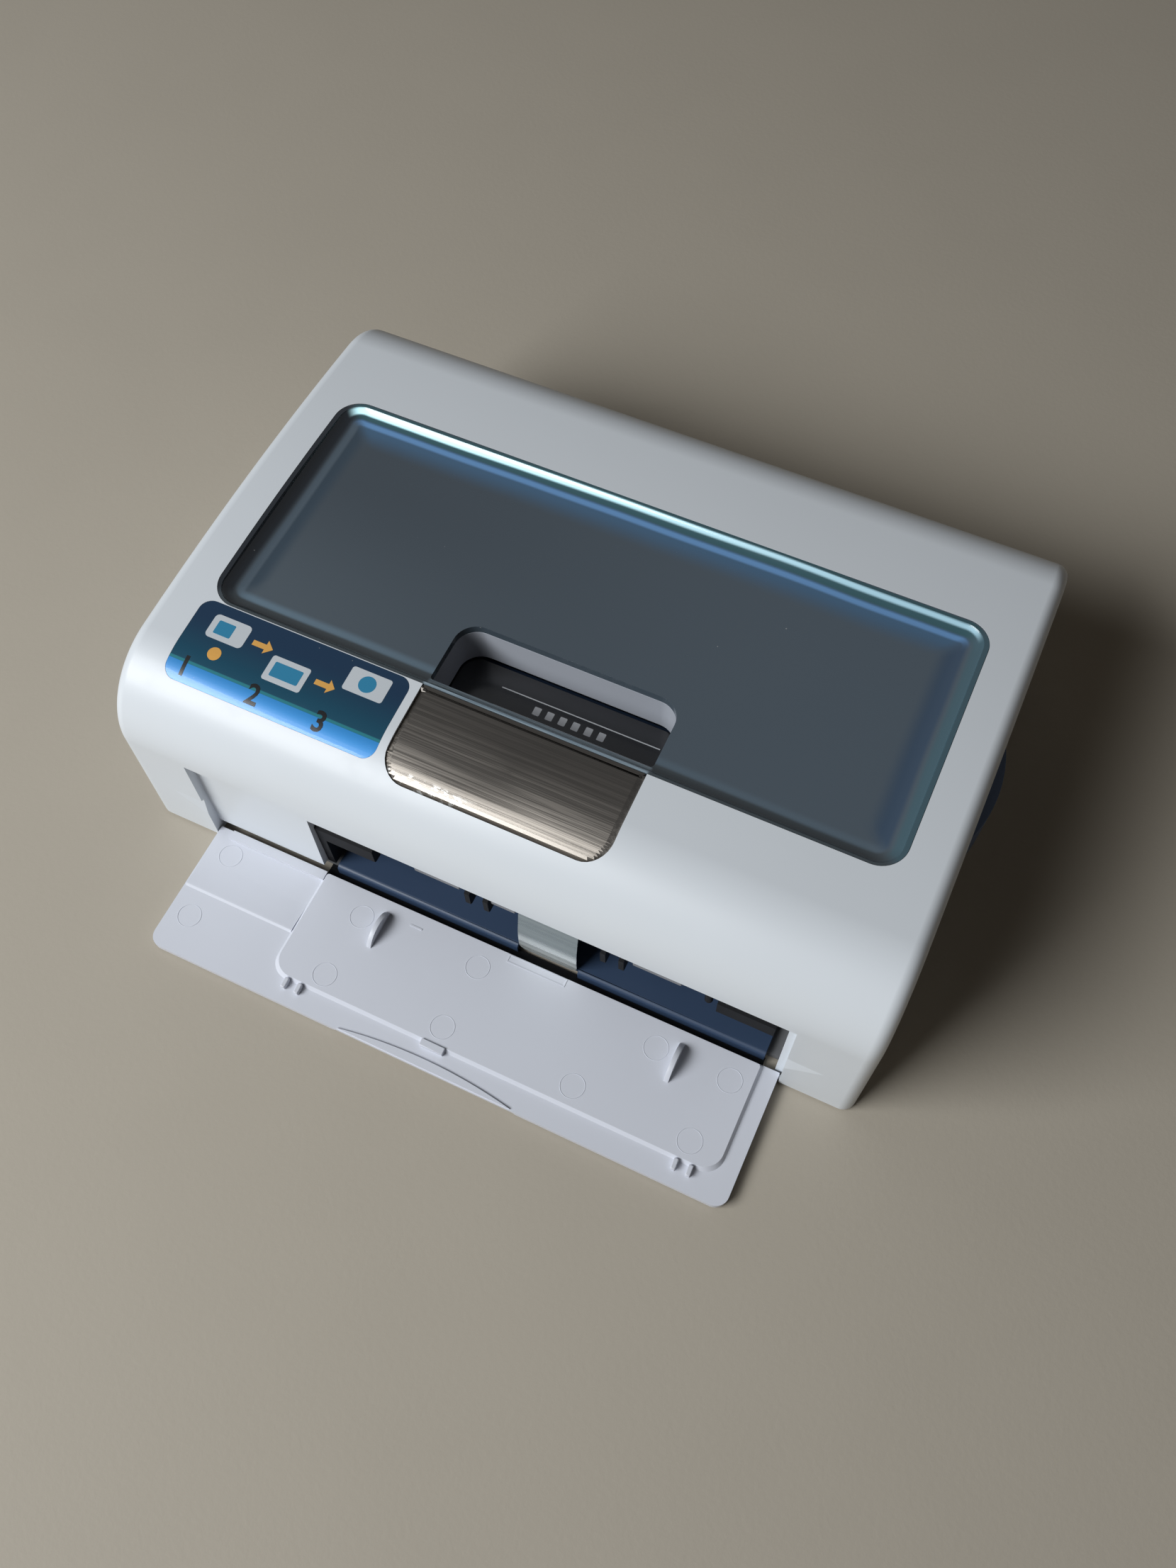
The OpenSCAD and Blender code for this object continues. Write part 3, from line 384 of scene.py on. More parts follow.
def over_crown(bm, lift=0.0):
    """Lays a flat relief, drawn about z = 0, on the shell's top."""
    for vert in bm.verts:
        vert.co.z += skin_z(vert.co.y) + lift


# ---- Shader groups and finishes ----

class Graph:
    """Adds and links the nodes of one shader tree."""

    def __init__(self, tree):
        self.tree = tree

    def node(self, kind, inputs=None, **settings):
        made = self.tree.nodes.new("ShaderNode" + kind)
        for key, value in settings.items():
            setattr(made, key, value)
        for key, value in (inputs or {}).items():
            self.feed(value, made.inputs[key])
        return made

    def feed(self, value, socket):
        if isinstance(value, bpy.types.NodeSocket):
            self.tree.links.new(value, socket)
        else:
            socket.default_value = value

    def math(self, operation, one, two=0.0, clamp=False):
        return self.node("Math", {0: one, 1: two}, operation=operation, use_clamp=clamp).outputs[0]

    def plus(self, one, two, clamp=False):
        return self.math("ADD", one, two, clamp)

    def minus(self, one, two):
        return self.math("SUBTRACT", one, two)

    def times(self, one, two, clamp=False):
        return self.math("MULTIPLY", one, two, clamp)

    def mix(self, factor, one, two):
        made = self.node("Mix", data_type="RGBA")
        self.feed(factor, made.inputs[0])
        self.feed(one, made.inputs[6])
        self.feed(two, made.inputs[7])
        return made.outputs[2]

    def ramp(self, value, low, high, out_low=0.0, out_high=1.0):
        return self.node(
            "MapRange", {0: value, 1: low, 2: high, 3: out_low, 4: out_high},
            interpolation_type="SMOOTHSTEP").outputs[0]

    def band(self, value, start, full, hold, end):
        """Rises from start to full, then falls from hold to end."""
        return self.times(self.ramp(value, start, full), self.ramp(value, end, hold))

    def noise(self, vector, scale, detail=2.0, roughness=0.5):
        return self.node(
            "TexNoise", {"Vector": vector, "Scale": scale, "Detail": detail, "Roughness": roughness}).outputs[0]

    def axes(self, vector):
        return self.node("SeparateXYZ", {0: vector}).outputs

    def stretched(self, vector, scale, turn=(0.0, 0.0, 0.0)):
        return self.node("Mapping", {"Vector": vector, "Scale": scale, "Rotation": turn}).outputs[0]


def shader_group(name, inputs, outputs):
    """A group with named sockets; returns its graph, its input node and its output node."""
    tree = bpy.data.node_groups.new(name, "ShaderNodeTree")
    for label, kind, value in inputs:
        socket = tree.interface.new_socket(label, in_out="INPUT", socket_type="NodeSocket" + kind)
        if value is not None:
            socket.default_value = value
    for label, kind in outputs:
        tree.interface.new_socket(label, in_out="OUTPUT", socket_type="NodeSocket" + kind)
    graph = Graph(tree)
    return graph, tree.nodes.new("NodeGroupInput").outputs, tree.nodes.new("NodeGroupOutput").inputs


def make_moulded_skin():
    """Fine mould grain, slow mottling, faint rubbed patches and hairline scratches of plastic."""
    graph, given, put = shader_group(
        "moulded_skin",
        (("Vector", "Vector", None), ("Colour", "Color", (0.8, 0.8, 0.8, 1)), ("Deep", "Color", (0.7, 0.7, 0.7, 1)),
         ("Roughness", "Float", 0.35), ("Mottle", "Float", 0.3), ("Grain Size", "Float", 2200.0),
         ("Grain", "Float", 0.00001), ("Scuffs", "Float", 0.3)),
        (("Colour", "Color"), ("Roughness", "Float"), ("Normal", "Vector"), ("Scratch", "Float")))
    cloud = graph.ramp(graph.noise(given["Vector"], 28.0, 3.0), 0.35, 0.7)
    fine = graph.noise(given["Vector"], given["Grain Size"], 2.0, 0.6)
    rubbed = graph.ramp(graph.noise(graph.stretched(given["Vector"], (60, 95, 60)), 1.0, 5.0, 0.65), 0.52, 0.78)
    lines = graph.noise(graph.stretched(given["Vector"], (90, 2600, 900), (0, 0, 0.35)), 1.0, 1.0)
    patch = graph.ramp(graph.noise(given["Vector"], 45.0, 1.0), 0.62, 0.72)
    scratch = graph.times(graph.ramp(lines, 0.69, 0.74), patch)
    scratch = graph.times(scratch, given["Scuffs"], True)
    blend = graph.times(cloud, given["Mottle"], True)
    tint = graph.mix(blend, given["Colour"], given["Deep"])
    graph.feed(graph.mix(graph.times(scratch, 0.5), tint, given["Deep"]), put["Colour"])
    rough = graph.plus(given["Roughness"], graph.times(rubbed, 0.10))
    rough = graph.plus(rough, graph.times(scratch, 0.25), True)
    graph.feed(rough, put["Roughness"])
    height = graph.minus(fine, graph.times(scratch, 0.8))
    bump = graph.node("Bump", {"Height": height, "Distance": given["Grain"], "Strength": 0.6})
    graph.feed(bump.outputs[0], put["Normal"])
    graph.feed(scratch, put["Scratch"])


def make_brushed_face():
    """Lines of brushed or drawn metal, along the vector's X."""
    graph, given, put = shader_group(
        "brushed_face",
        (("Vector", "Vector", None), ("Colour", "Color", (0.5, 0.5, 0.5, 1)), ("Bright", "Color", (0.7, 0.7, 0.7, 1)),
         ("Roughness", "Float", 0.3), ("Density", "Float", 1.0), ("Depth", "Float", 0.00001)),
        (("Colour", "Color"), ("Roughness", "Float"), ("Normal", "Vector")))
    stroke, wide = (
        graph.node("VectorMath", {0: graph.stretched(given["Vector"], stretch), 3: given["Density"]},
                   operation="SCALE").outputs[0] for stretch in ((28, 4200, 4200), (9, 900, 900)))
    fine = graph.noise(stroke, 1.0, 3.0, 0.7)
    coarse = graph.noise(wide, 1.0, 2.0, 0.6)
    lines = graph.plus(graph.times(fine, 0.6), graph.times(coarse, 0.4))
    graph.feed(graph.mix(graph.ramp(lines, 0.42, 0.62), given["Colour"], given["Bright"]), put["Colour"])
    rough = graph.plus(given["Roughness"], graph.ramp(lines, 0.4, 0.6, -0.06, 0.10), True)
    graph.feed(rough, put["Roughness"])
    bump = graph.node("Bump", {"Height": lines, "Distance": given["Depth"], "Strength": 1.0})
    graph.feed(bump.outputs[0], put["Normal"])


def make_dust():
    """Sparse specks of dust as a mask."""
    graph, given, put = shader_group(
        "dust_specks", (("Vector", "Vector", None), ("Density", "Float", 260.0), ("Size", "Float", 0.06)),
        (("Mask", "Float"),))
    cell = graph.node("TexVoronoi", {"Vector": given["Vector"], "Scale": given["Density"], "Randomness": 1.0})
    near = graph.math("LESS_THAN", cell.outputs["Distance"], given["Size"])
    pick = graph.node("SeparateColor", {0: cell.outputs["Color"]}).outputs[0]
    graph.feed(graph.times(near, graph.math("GREATER_THAN", pick, 0.72)), put["Mask"])


def finish_name(name):
    """The CAD file brings flat materials named like its slots; the finishes stand beside them."""
    return name + "_finish"


def start_material(name):
    """A material with its shader and its object coordinates."""
    material = bpy.data.materials.new(finish_name(name))
    material.use_nodes = True
    material.node_tree.nodes.clear()
    graph = Graph(material.node_tree)
    shader = graph.node("BsdfPrincipled")
    output = graph.node("OutputMaterial")
    graph.feed(shader.outputs[0], output.inputs[0])
    place = graph.node("TexCoord").outputs["Object"]
    return material, graph, shader, place


def use_group(graph, name, inputs):
    made = graph.node("Group", node_tree=bpy.data.node_groups[name])
    for key, value in inputs.items():
        graph.feed(value, made.inputs[key])
    return made.outputs


def cover(graph, shader, face, constants, tint=None):
    """Feeds a group's outputs to the shader, with another tint if there is one, and sets its constants."""
    graph.feed(tint or face["Colour"], shader.inputs["Base Color"])
    graph.feed(face["Roughness"], shader.inputs["Roughness"])
    graph.feed(face["Normal"], shader.inputs["Normal"])
    for key, value in constants.items():
        shader.inputs[key].default_value = value


def rgba(value, gain=1.0):
    return (*(min(1.0, channel * gain) for channel in value), 1.0)


def plastic(name, tint, roughness=0.4, mottle=0.3, grain_size=2200.0, grain=0.00001, scuffs=0.3,
            coat=0.0, specular=0.5, deep=0.8):
    """Moulded plastic with its own colour, gloss and grain."""
    material, graph, shader, place = start_material(name)
    if isinstance(tint, str):
        tint = getattr(colours(), tint)
    skin = use_group(graph, "moulded_skin", {
        "Vector": place, "Colour": rgba(tint), "Deep": rgba(tint, deep), "Roughness": roughness,
        "Mottle": mottle, "Grain Size": grain_size, "Grain": grain, "Scuffs": scuffs})
    cover(graph, shader, skin, {"Specular IOR Level": specular, "Coat Weight": coat, "Coat Roughness": 0.12})
    return material


def brushed(name, tint, bright, roughness, density, depth, turn, constants):
    """A face of brushed lines, which run along X unless they are turned."""
    material, graph, shader, place = start_material(name)
    face = use_group(graph, "brushed_face", {
        "Vector": graph.stretched(place, (1, 1, 1), turn), "Colour": rgba(tint), "Bright": rgba(bright),
        "Roughness": roughness, "Density": density, "Depth": depth})
    cover(graph, shader, face, constants)
    return material


def metal(name, tint, bright, roughness, density=1.0):
    """Brushed, drawn or plated metal."""
    return brushed(name, tint, bright, roughness, density, 0.000006, (0, 0, 0), {"Metallic": 1.0})


def film(name, tint, bright):
    """Wound or stretched ribbon film: fine lines round the reel, with a gloss coat."""
    return brushed(name, tint, bright, 0.25, 0.8, 0.000008, (0, 0, math.pi / 2), {"Coat Weight": 0.6})


# Plastics: tint or the name of a colour above, roughness, mottle, grain size and depth, scuffs, coat, specular, deep
PLASTICS = {
    "case_white": ("shell", 0.38, 0.12, 2600, 0.000004, 0.5, 0.06, 0.5, 0.93),
    "base_grey": ((0.16, 0.163, 0.17), 0.6, 0.3, 1500, 0.00002),
    "well_grey": ((0.42, 0.44, 0.49), 0.42, 0.2),
    "tray_navy": ("navy", 0.42, 0.3, 1800, 0.00001, 0.8),
    "guide_black": ((0.009, 0.0095, 0.011), 0.55, 0.4, 2200, 0.00001, 0.3, 0.0, 0.12),
    "bar_grey": ((0.22, 0.225, 0.24), 0.45, 0.3),
    "deck_grey": ((0.14, 0.15, 0.17), 0.5, 0.3),
    "nylon": ((0.70, 0.68, 0.60), 0.45, 0.3, 1200),
    "door_white": ("door", 0.38, 0.15, 2400, 0.000005, 0.4, 0.0, 0.5, 0.92),
    "button_silver": ((0.52, 0.53, 0.55), 0.34, 0.2, 3200),
    "cassette_navy": ("navy", 0.40, 0.3, 1700, 0.00001),
    "spool_white": ((0.68, 0.68, 0.68), 0.45, 0.3),
    "socket_black": ((0.018, 0.018, 0.02), 0.45, 0.3),
    "chip_black": ((0.02, 0.02, 0.022), 0.5, 0.5, 3500, 0.00002),
    "circuit_board": ((0.015, 0.13, 0.06), 0.3, 0.9, 900, 0.00002, 0.3, 0.0, 0.5, 0.45),
    "foot_rubber": ((0.07, 0.07, 0.075), 0.8, 0.5, 1400, 0.00004),
    "roller_rubber": ((0.035, 0.035, 0.037), 0.75, 0.5, 1800, 0.00004),
    "head_ceramic": ((0.70, 0.68, 0.64), 0.2, 0.3, 1800, 0.000003),
    "lamp_lens": ((0.28, 0.70, 0.33), 0.12, 0.1, 2200, 0.00001, 0.3, 1.0),
    "cassette_print": ((0.012, 0.012, 0.014), 0.22, 0.3, 2200, 0.00001, 0.3, 0.5),
}

# Metals: tint, the tint of their bright lines, roughness and density of the lines
METALS = {
    "zinc_plate": ((0.42, 0.44, 0.46), (0.56, 0.58, 0.60), 0.42, 0.5),
    "motor_steel": ((0.50, 0.50, 0.52), (0.66, 0.66, 0.68), 0.3, 0.7),
    "shaft_steel": ((0.52, 0.52, 0.54), (0.68, 0.68, 0.70), 0.22, 1.4),
    "screw_steel": ((0.30, 0.30, 0.32), (0.44, 0.44, 0.46), 0.35),
    "port_shell": ((0.52, 0.52, 0.53), (0.66, 0.66, 0.67), 0.3),
    "pinion_brass": ((0.60, 0.42, 0.16), (0.78, 0.60, 0.28), 0.3),
    "heatsink_aluminium": ((0.56, 0.57, 0.59), (0.72, 0.73, 0.75), 0.36),
}

# Films: tint and the tint of their bright lines
FILMS = {
    "supply_ribbon": ((0.50, 0.36, 0.05), (0.68, 0.52, 0.10)),
    "used_ribbon": ((0.04, 0.03, 0.05), (0.10, 0.07, 0.09)),
    "ribbon_film": ((0.20, 0.17, 0.04), (0.30, 0.26, 0.07)),
}


def slot_material(slot):
    """The finish of a record slot, made on first use."""
    own = {"window_smoke": window_smoke, "badge_metal": badge_metal, "label_blue": label_ground,
           "leaf_steel": leaf_steel}
    made = bpy.data.materials.get(finish_name(slot))
    if made:
        return made
    if slot in own:
        return own[slot]()
    for table, make in ((PLASTICS, plastic), (METALS, metal), (FILMS, film)):
        if slot in table:
            return make(slot, *table[slot])
    raise KeyError(slot)


def window_smoke():
    """Smoky panel: slate floor, dark slope on the left, a lit edge behind and teal on the right."""
    material, graph, shader, place = start_material("window_smoke")
    tones = colours()
    axes = graph.axes(place)
    # Painted light: the slate is lighter towards the right.
    slate = graph.mix(graph.ramp(axes["X"], -0.070, 0.070), rgba(tones.smoke, 0.85), rgba(tones.smoke, 1.3))
    skin = use_group(graph, "moulded_skin", {
        "Vector": place, "Colour": slate, "Deep": slate, "Roughness": 0.26, "Mottle": 0.0,
        "Grain Size": 3000.0, "Grain": 0.000003, "Scuffs": 0.6})
    wobble = graph.ramp(graph.noise(graph.stretched(place, (14, 14, 14)), 1.0, 2.0), 0.3, 0.7, -0.0003, 0.0003)
    across = graph.minus(graph.math("ABSOLUTE", axes["X"]), WINDOW[2] * MM)
    along = graph.math("ABSOLUTE", graph.minus(axes["Y"], (WINDOW[1] + WINDOW[3]) / 2 * MM))
    along = graph.minus(along, (WINDOW[3] - WINDOW[1]) / 2 * MM)
    corner = 0.006
    past = [graph.math("MAXIMUM", graph.plus(value, corner), 0.0) for value in (across, along)]
    past = graph.node("CombineXYZ", {0: past[0], 1: past[1]}).outputs[0]
    round_part = graph.node("VectorMath", {0: past}, operation="LENGTH").outputs["Value"]
    square_part = graph.math("MINIMUM", graph.math("MAXIMUM", across, along), -corner)
    inward = graph.times(graph.plus(round_part, square_part), -1.0)
    inward = graph.times(graph.plus(inward, wobble), 1000.0)
    ends = graph.ramp(graph.minus(across, along), -0.0025, 0.0025)
    sides = graph.minus(1.0, ends)
    left = graph.times(ends, graph.math("LESS_THAN", axes["X"], 0.0))
    right = graph.times(ends, graph.math("GREATER_THAN", axes["X"], 0.0))
    back = graph.times(sides, graph.math("GREATER_THAN", axes["Y"], 0.0))
    front = graph.times(sides, graph.math("LESS_THAN", axes["Y"], 0.0))
    fade = graph.ramp(axes["X"], 0.02, -0.075, 0.3, 1.0)
    # Painted light: a paler patch on the floor towards the front left.
    painted_light_front_left = graph.times(graph.ramp(axes["X"], 0.01, -0.070), graph.ramp(axes["Y"], 0.012, -0.026))
    tint = graph.mix(graph.times(painted_light_front_left, 0.45), skin["Colour"], (0.115, 0.150, 0.18, 1))
    # Painted reflections and shade on the slopes, as bands along the sides: where each rises, is full, starts to fall
    # and ends, in mm in from the edge
    for side, span, strength, shade_of in (
            (back, (10.5, 5.5, 3.4, 3.0), 0.85, (0.055, 0.13, 0.23, 1)),
            (back, (5.2, 4.5, 4.0, 3.3), 0.85, (0.15, 0.32, 0.60, 1)),
            (back, (3.6, 3.0, 0.2, 0.0), 1.0, (0.035, 0.10, 0.12, 1)),
            (left, (9.5, 6.5, 5.6, 4.9), 0.8, (0.026, 0.052, 0.080, 1)),
            (left, (5.8, 4.9, 4.3, 3.2), 1.0, (0.085, 0.12, 0.155, 1)),
            (left, (4.0, 2.6, -1.0, -2.0), 1.0, (0.008, 0.012, 0.018, 1)),
            (right, (10.0, 6.0, 4.6, 3.2), 0.8, (0.030, 0.065, 0.12, 1)),
            (right, (3.8, 2.4, -1.0, -2.0), 0.9, (0.055, 0.115, 0.145, 1)),
            (front, (4.2, 3.2, -1.0, -2.0), 0.85, (0.042, 0.053, 0.058, 1))):
        mask = graph.times(side, graph.band(inward, *span))
        tint = graph.mix(graph.times(mask, strength), tint, shade_of)
    # Painted highlight: a pale line along the foot of the front slope, fading towards the right.
    line = graph.times(graph.times(front, fade), graph.band(inward, 6.0, 4.4, 4.0, 3.2))
    tint = graph.mix(graph.times(line, 0.8), tint, (0.15, 0.23, 0.30, 1))
    strip = graph.times(graph.ramp(graph.math("ABSOLUTE", axes["X"]), 0.0252, 0.0244),
                       graph.ramp(axes["Y"], -0.0277, -0.0280))
    grain = graph.ramp(graph.noise(graph.stretched(place, (60, 5200, 60)), 1.0, 2.0), 0.35, 0.65)
    tint = graph.mix(strip, tint, graph.mix(grain, (0.16, 0.22, 0.27, 1), (0.33, 0.41, 0.47, 1)))
    width = graph.ramp(axes["X"], -0.070, 0.070, 2.5, 2.1)
    # Painted glow: a bright band along the back slope, lit in the colour and by emission, though the panel is no
    # lamp.
    glow = graph.ramp(graph.minus(width, inward), 0.0, 0.6)
    glow = graph.times(graph.ramp(inward, 0.7, 1.2), glow)
    glow = graph.times(glow, back)
    bright = graph.mix(graph.ramp(axes["X"], -0.070, 0.060), rgba(tones.glow, 1.15), rgba(tones.glow, 0.75))
    tint = graph.mix(glow, tint, bright)
    specks = use_group(graph, "dust_specks", {"Vector": place, "Density": 190.0, "Size": 0.035})["Mask"]
    cover(graph, shader, skin, {"Coat Weight": 0.5, "Coat Roughness": 0.1},
          graph.mix(graph.times(specks, 0.5), tint, (0.5, 0.5, 0.5, 1)))
    # The painted glow also emits light.
    graph.feed(bright, shader.inputs["Emission Color"])
    graph.feed(graph.times(glow, graph.ramp(axes["X"], -0.074, 0.060, 0.62, 0.16)),
               shader.inputs["Emission Strength"])
    return material


def badge_metal():
    """Dark brushed plate, lighter towards its front, whose front left edge is worn bright."""
    material, graph, shader, place = start_material("badge_metal")
    tones = colours()
    axes = graph.axes(place)
    # Painted sheen: the plate and its lines are lighter towards its front.
    light = graph.ramp(axes["Y"], -0.034, -0.049)
    face = use_group(graph, "brushed_face", {
        "Vector": place, "Colour": graph.mix(light, rgba(tones.badge, 0.85), rgba(tones.badge, 1.6)),
        "Bright": graph.mix(light, rgba(tones.badge, 1.1), rgba(tones.badge, 2.8)),
        "Roughness": 0.30, "Density": 1.3, "Depth": 0.000015})
    # Chipped patches lighten the front left edge.
    chips = graph.ramp(graph.noise(graph.stretched(place, (420, 700, 420)), 1.0, 4.0, 0.7), 0.52, 0.58)
    rim = graph.times(graph.ramp(axes["Y"], -0.0484, -0.0496), graph.ramp(axes["X"], -0.002, -0.012))
    bright_chips = graph.times(chips, rim, True)
    cover(graph, shader, face, {"Metallic": 0.8, "Anisotropic": 0.4, "Coat Weight": 0.2, "Coat Roughness": 0.1},
          graph.mix(bright_chips, face["Colour"], (0.78, 0.77, 0.74, 1)))
    return material


def leaf_steel():
    """Sheet steel of the spring, grey in the shade of the slot and bright towards its foot."""
    material, graph, shader, place = start_material("leaf_steel")
    low = graph.ramp(graph.axes(place)["Z"], 0.0125, 0.0085)
    face = use_group(graph, "brushed_face", {
        "Vector": place, "Colour": graph.mix(low, (0.26, 0.30, 0.30, 1), (0.78, 0.82, 0.80, 1)),
        "Bright": graph.mix(low, (0.34, 0.38, 0.38, 1), (0.88, 0.92, 0.90, 1)),
        "Roughness": 0.32, "Density": 0.6, "Depth": 0.000003})
    cover(graph, shader, face, {"Metallic": 0.7})
    return material


def label_ground():
    """Printed label: dark blue shading to petrol, with a bright blue band and a thin teal line."""
    material, graph, shader, place = start_material("label_blue")
    tones = colours()
    axes = graph.axes(place)
    fade = graph.ramp(axes["Y"], -0.034, -0.0445)
    tint = graph.mix(graph.times(fade, 0.75), rgba(tones.label), (0.004, 0.075, 0.125, 1))
    teal = graph.times(graph.ramp(axes["Y"], -0.0448, -0.0450), graph.ramp(axes["Y"], -0.0456, -0.0454))
    tint = graph.mix(teal, tint, (0.02, 0.20, 0.24, 1))
    band = graph.ramp(axes["Y"], -0.04545, -0.04560)
    light = graph.mix(graph.ramp(axes["Y"], -0.0455, -0.0490), rgba(tones.band, 0.8), rgba(tones.band, 1.15))
    tint = graph.mix(band, tint, light)
    skin = use_group(graph, "moulded_skin", {
        "Vector": place, "Colour": tint, "Deep": tint, "Roughness": 0.24, "Mottle": 0.0,
        "Grain Size": 3500.0, "Grain": 0.000002, "Scuffs": 0.4})
    specks = use_group(graph, "dust_specks", {"Vector": place, "Density": 420.0, "Size": 0.05})["Mask"]
    cover(graph, shader, skin, {"Coat Weight": 0.25},
          graph.mix(graph.times(specks, 0.35), skin["Colour"], (0.6, 0.6, 0.6, 1)))
    return material


def ink(name, tint):
    """Printing ink on a label, slightly uneven."""
    made = bpy.data.materials.get(finish_name(name))
    return made or plastic(name, tint, 0.26, 0.25, 3500, 0.000002, 0.2, 0.3, deep=0.85)


# ---- Making and finishing pieces ----

def colours():
    return bpy.context.scene.printer_colours


def sizes():
    return bpy.context.scene.printer_sizes


def slot_of(node):
    """The record's material slot that a CAD node is given."""
    return next(row["material_slot"] for row in frame["record"]["subparts"] if row["node"] == node)


def body_with(node):
    """The moving body that a CAD node belongs to."""
    return next(body for body, nodes in frame["record"]["behaviour"]["bodies"].items() if node in nodes)


def add_piece(name, bm, slot, body, nodes=(), angle=30.0, bevel=0.0, material=None):
    """Turns a mesh in millimetres into a finished piece on its body."""
    bmesh.ops.scale(bm, vec=(MM, MM, MM), verts=bm.verts)
    mesh = bpy.data.meshes.new(name)
    bm.to_mesh(mesh)
    bm.free()
    return finish_piece(name, mesh, slot, body, nodes, angle, bevel, material)


def finish_piece(name, mesh, slot, body, nodes, angle, bevel, material=None):
    """Puts a mesh into the scene with its finish, its shading and its place in the record."""
    piece = bpy.data.objects.new(name, mesh)
    bpy.context.scene.collection.objects.link(piece)
    mesh.materials.clear()
    mesh.materials.append(material or slot_material(slot))
    mesh.shade_smooth()
    mesh.set_sharp_from_angle(angle=math.radians(angle))
    if bevel:
        edge = piece.modifiers.new("edge", "BEVEL")
        edge.width, edge.segments, edge.limit_method = bevel * MM, 2, "ANGLE"
        edge.angle_limit, edge.harden_normals, edge.profile = math.radians(angle), False, 0.5
        edge.miter_outer = "MITER_ARC"
    even = piece.modifiers.new("even_normals", "WEIGHTED_NORMAL")
    even.keep_sharp = True
    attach(piece, body)
    if nodes:
        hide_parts(*nodes)
    return piece


def carry_over(node, bevel):
    """A merged copy of a CAD node with softened edges and its finish."""
    mesh = frame["nodes"][node].data.copy()
    mesh.name = node + "_fine"
    bm = bmesh.new()
    bm.from_mesh(mesh)
    bmesh.ops.remove_doubles(bm, verts=bm.verts, dist=1e-6)
    bmesh.ops.dissolve_limit(
        bm, angle_limit=math.radians(0.5), use_dissolve_boundaries=False, verts=bm.verts[:], edges=bm.edges[:])
    for layer in list(bm.loops.layers.uv):
        bm.loops.layers.uv.remove(layer)
    bm.to_mesh(mesh)
    bm.free()
    return finish_piece(node + "_fine", mesh, slot_of(node), body_with(node), (node,), 30.0, bevel)


# ---- Shell ----

def groove_tip(side):
    """Wedge that the end of the finger groove takes out of the front wall."""
    bm = bmesh.new()
    for z, depth in ((10.0, 0.0), (16.7, 0.8), (17.0, 0.0)):
        bm.verts.new((side * (RECESS_X - 1), wall_y(-1, z) + depth, z))
        bm.verts.new((side * (RECESS_X - 1), wall_y(-1, z) - 1, z))
    bm.verts.new((side * 78.0, wall_y(-1, 16.7), 16.7))
    bm.verts.new((side * RECESS_X, wall_y(-1, 16.7) - 1, 16.7))
    bmesh.ops.convex_hull(bm, input=bm.verts[:])
    return outward(bm)


def recess_wall(x0, x1, z0):
    """Wall behind the open door beside the slot, from height z0 up to just over the recess."""
    top = RECESS_TOP + 2
    return bar([
        (wall_y(-1, z0, 2.1), z0), (wall_y(-1, z0, 4), z0), (wall_y(-1, top, 4), top), (wall_y(-1, top, 1), top),
        (wall_y(-1, RECESS_TOP, 1), RECESS_TOP), (wall_y(-1, RECESS_TOP, 2.1), RECESS_TOP)], "X", x0, x1)


def outer_form(radius):
    """The closed outer form with its end edges rounded all the way over the rolls."""
    bm = section_bar(-BODY_W / 2, BODY_W / 2)
    ends = [e for e in bm.edges
            if abs(e.verts[0].co.x - e.verts[1].co.x) < 1e-6 and max(v.co.z for v in e.verts) > FOOT_Z + 1e-6]
    cut_bevel(bm, ends, radius, 8, loop_slide=True)
    foot = [e for e in bm.edges if max(v.co.z for v in e.verts) < FOOT_Z + 1e-6 and not e.is_boundary]
    cut_bevel(bm, foot, 0.4, 3)
    return outward(bm)


def over_skin(box, inset, corners):
    """Tool that takes the skin off within an outline, down to inset."""
    return carve(slab(box, 27.0, 56.0, *corners), "DIFFERENCE", section_bar(-BODY_W, BODY_W, inset, FOOT_Z - 3))


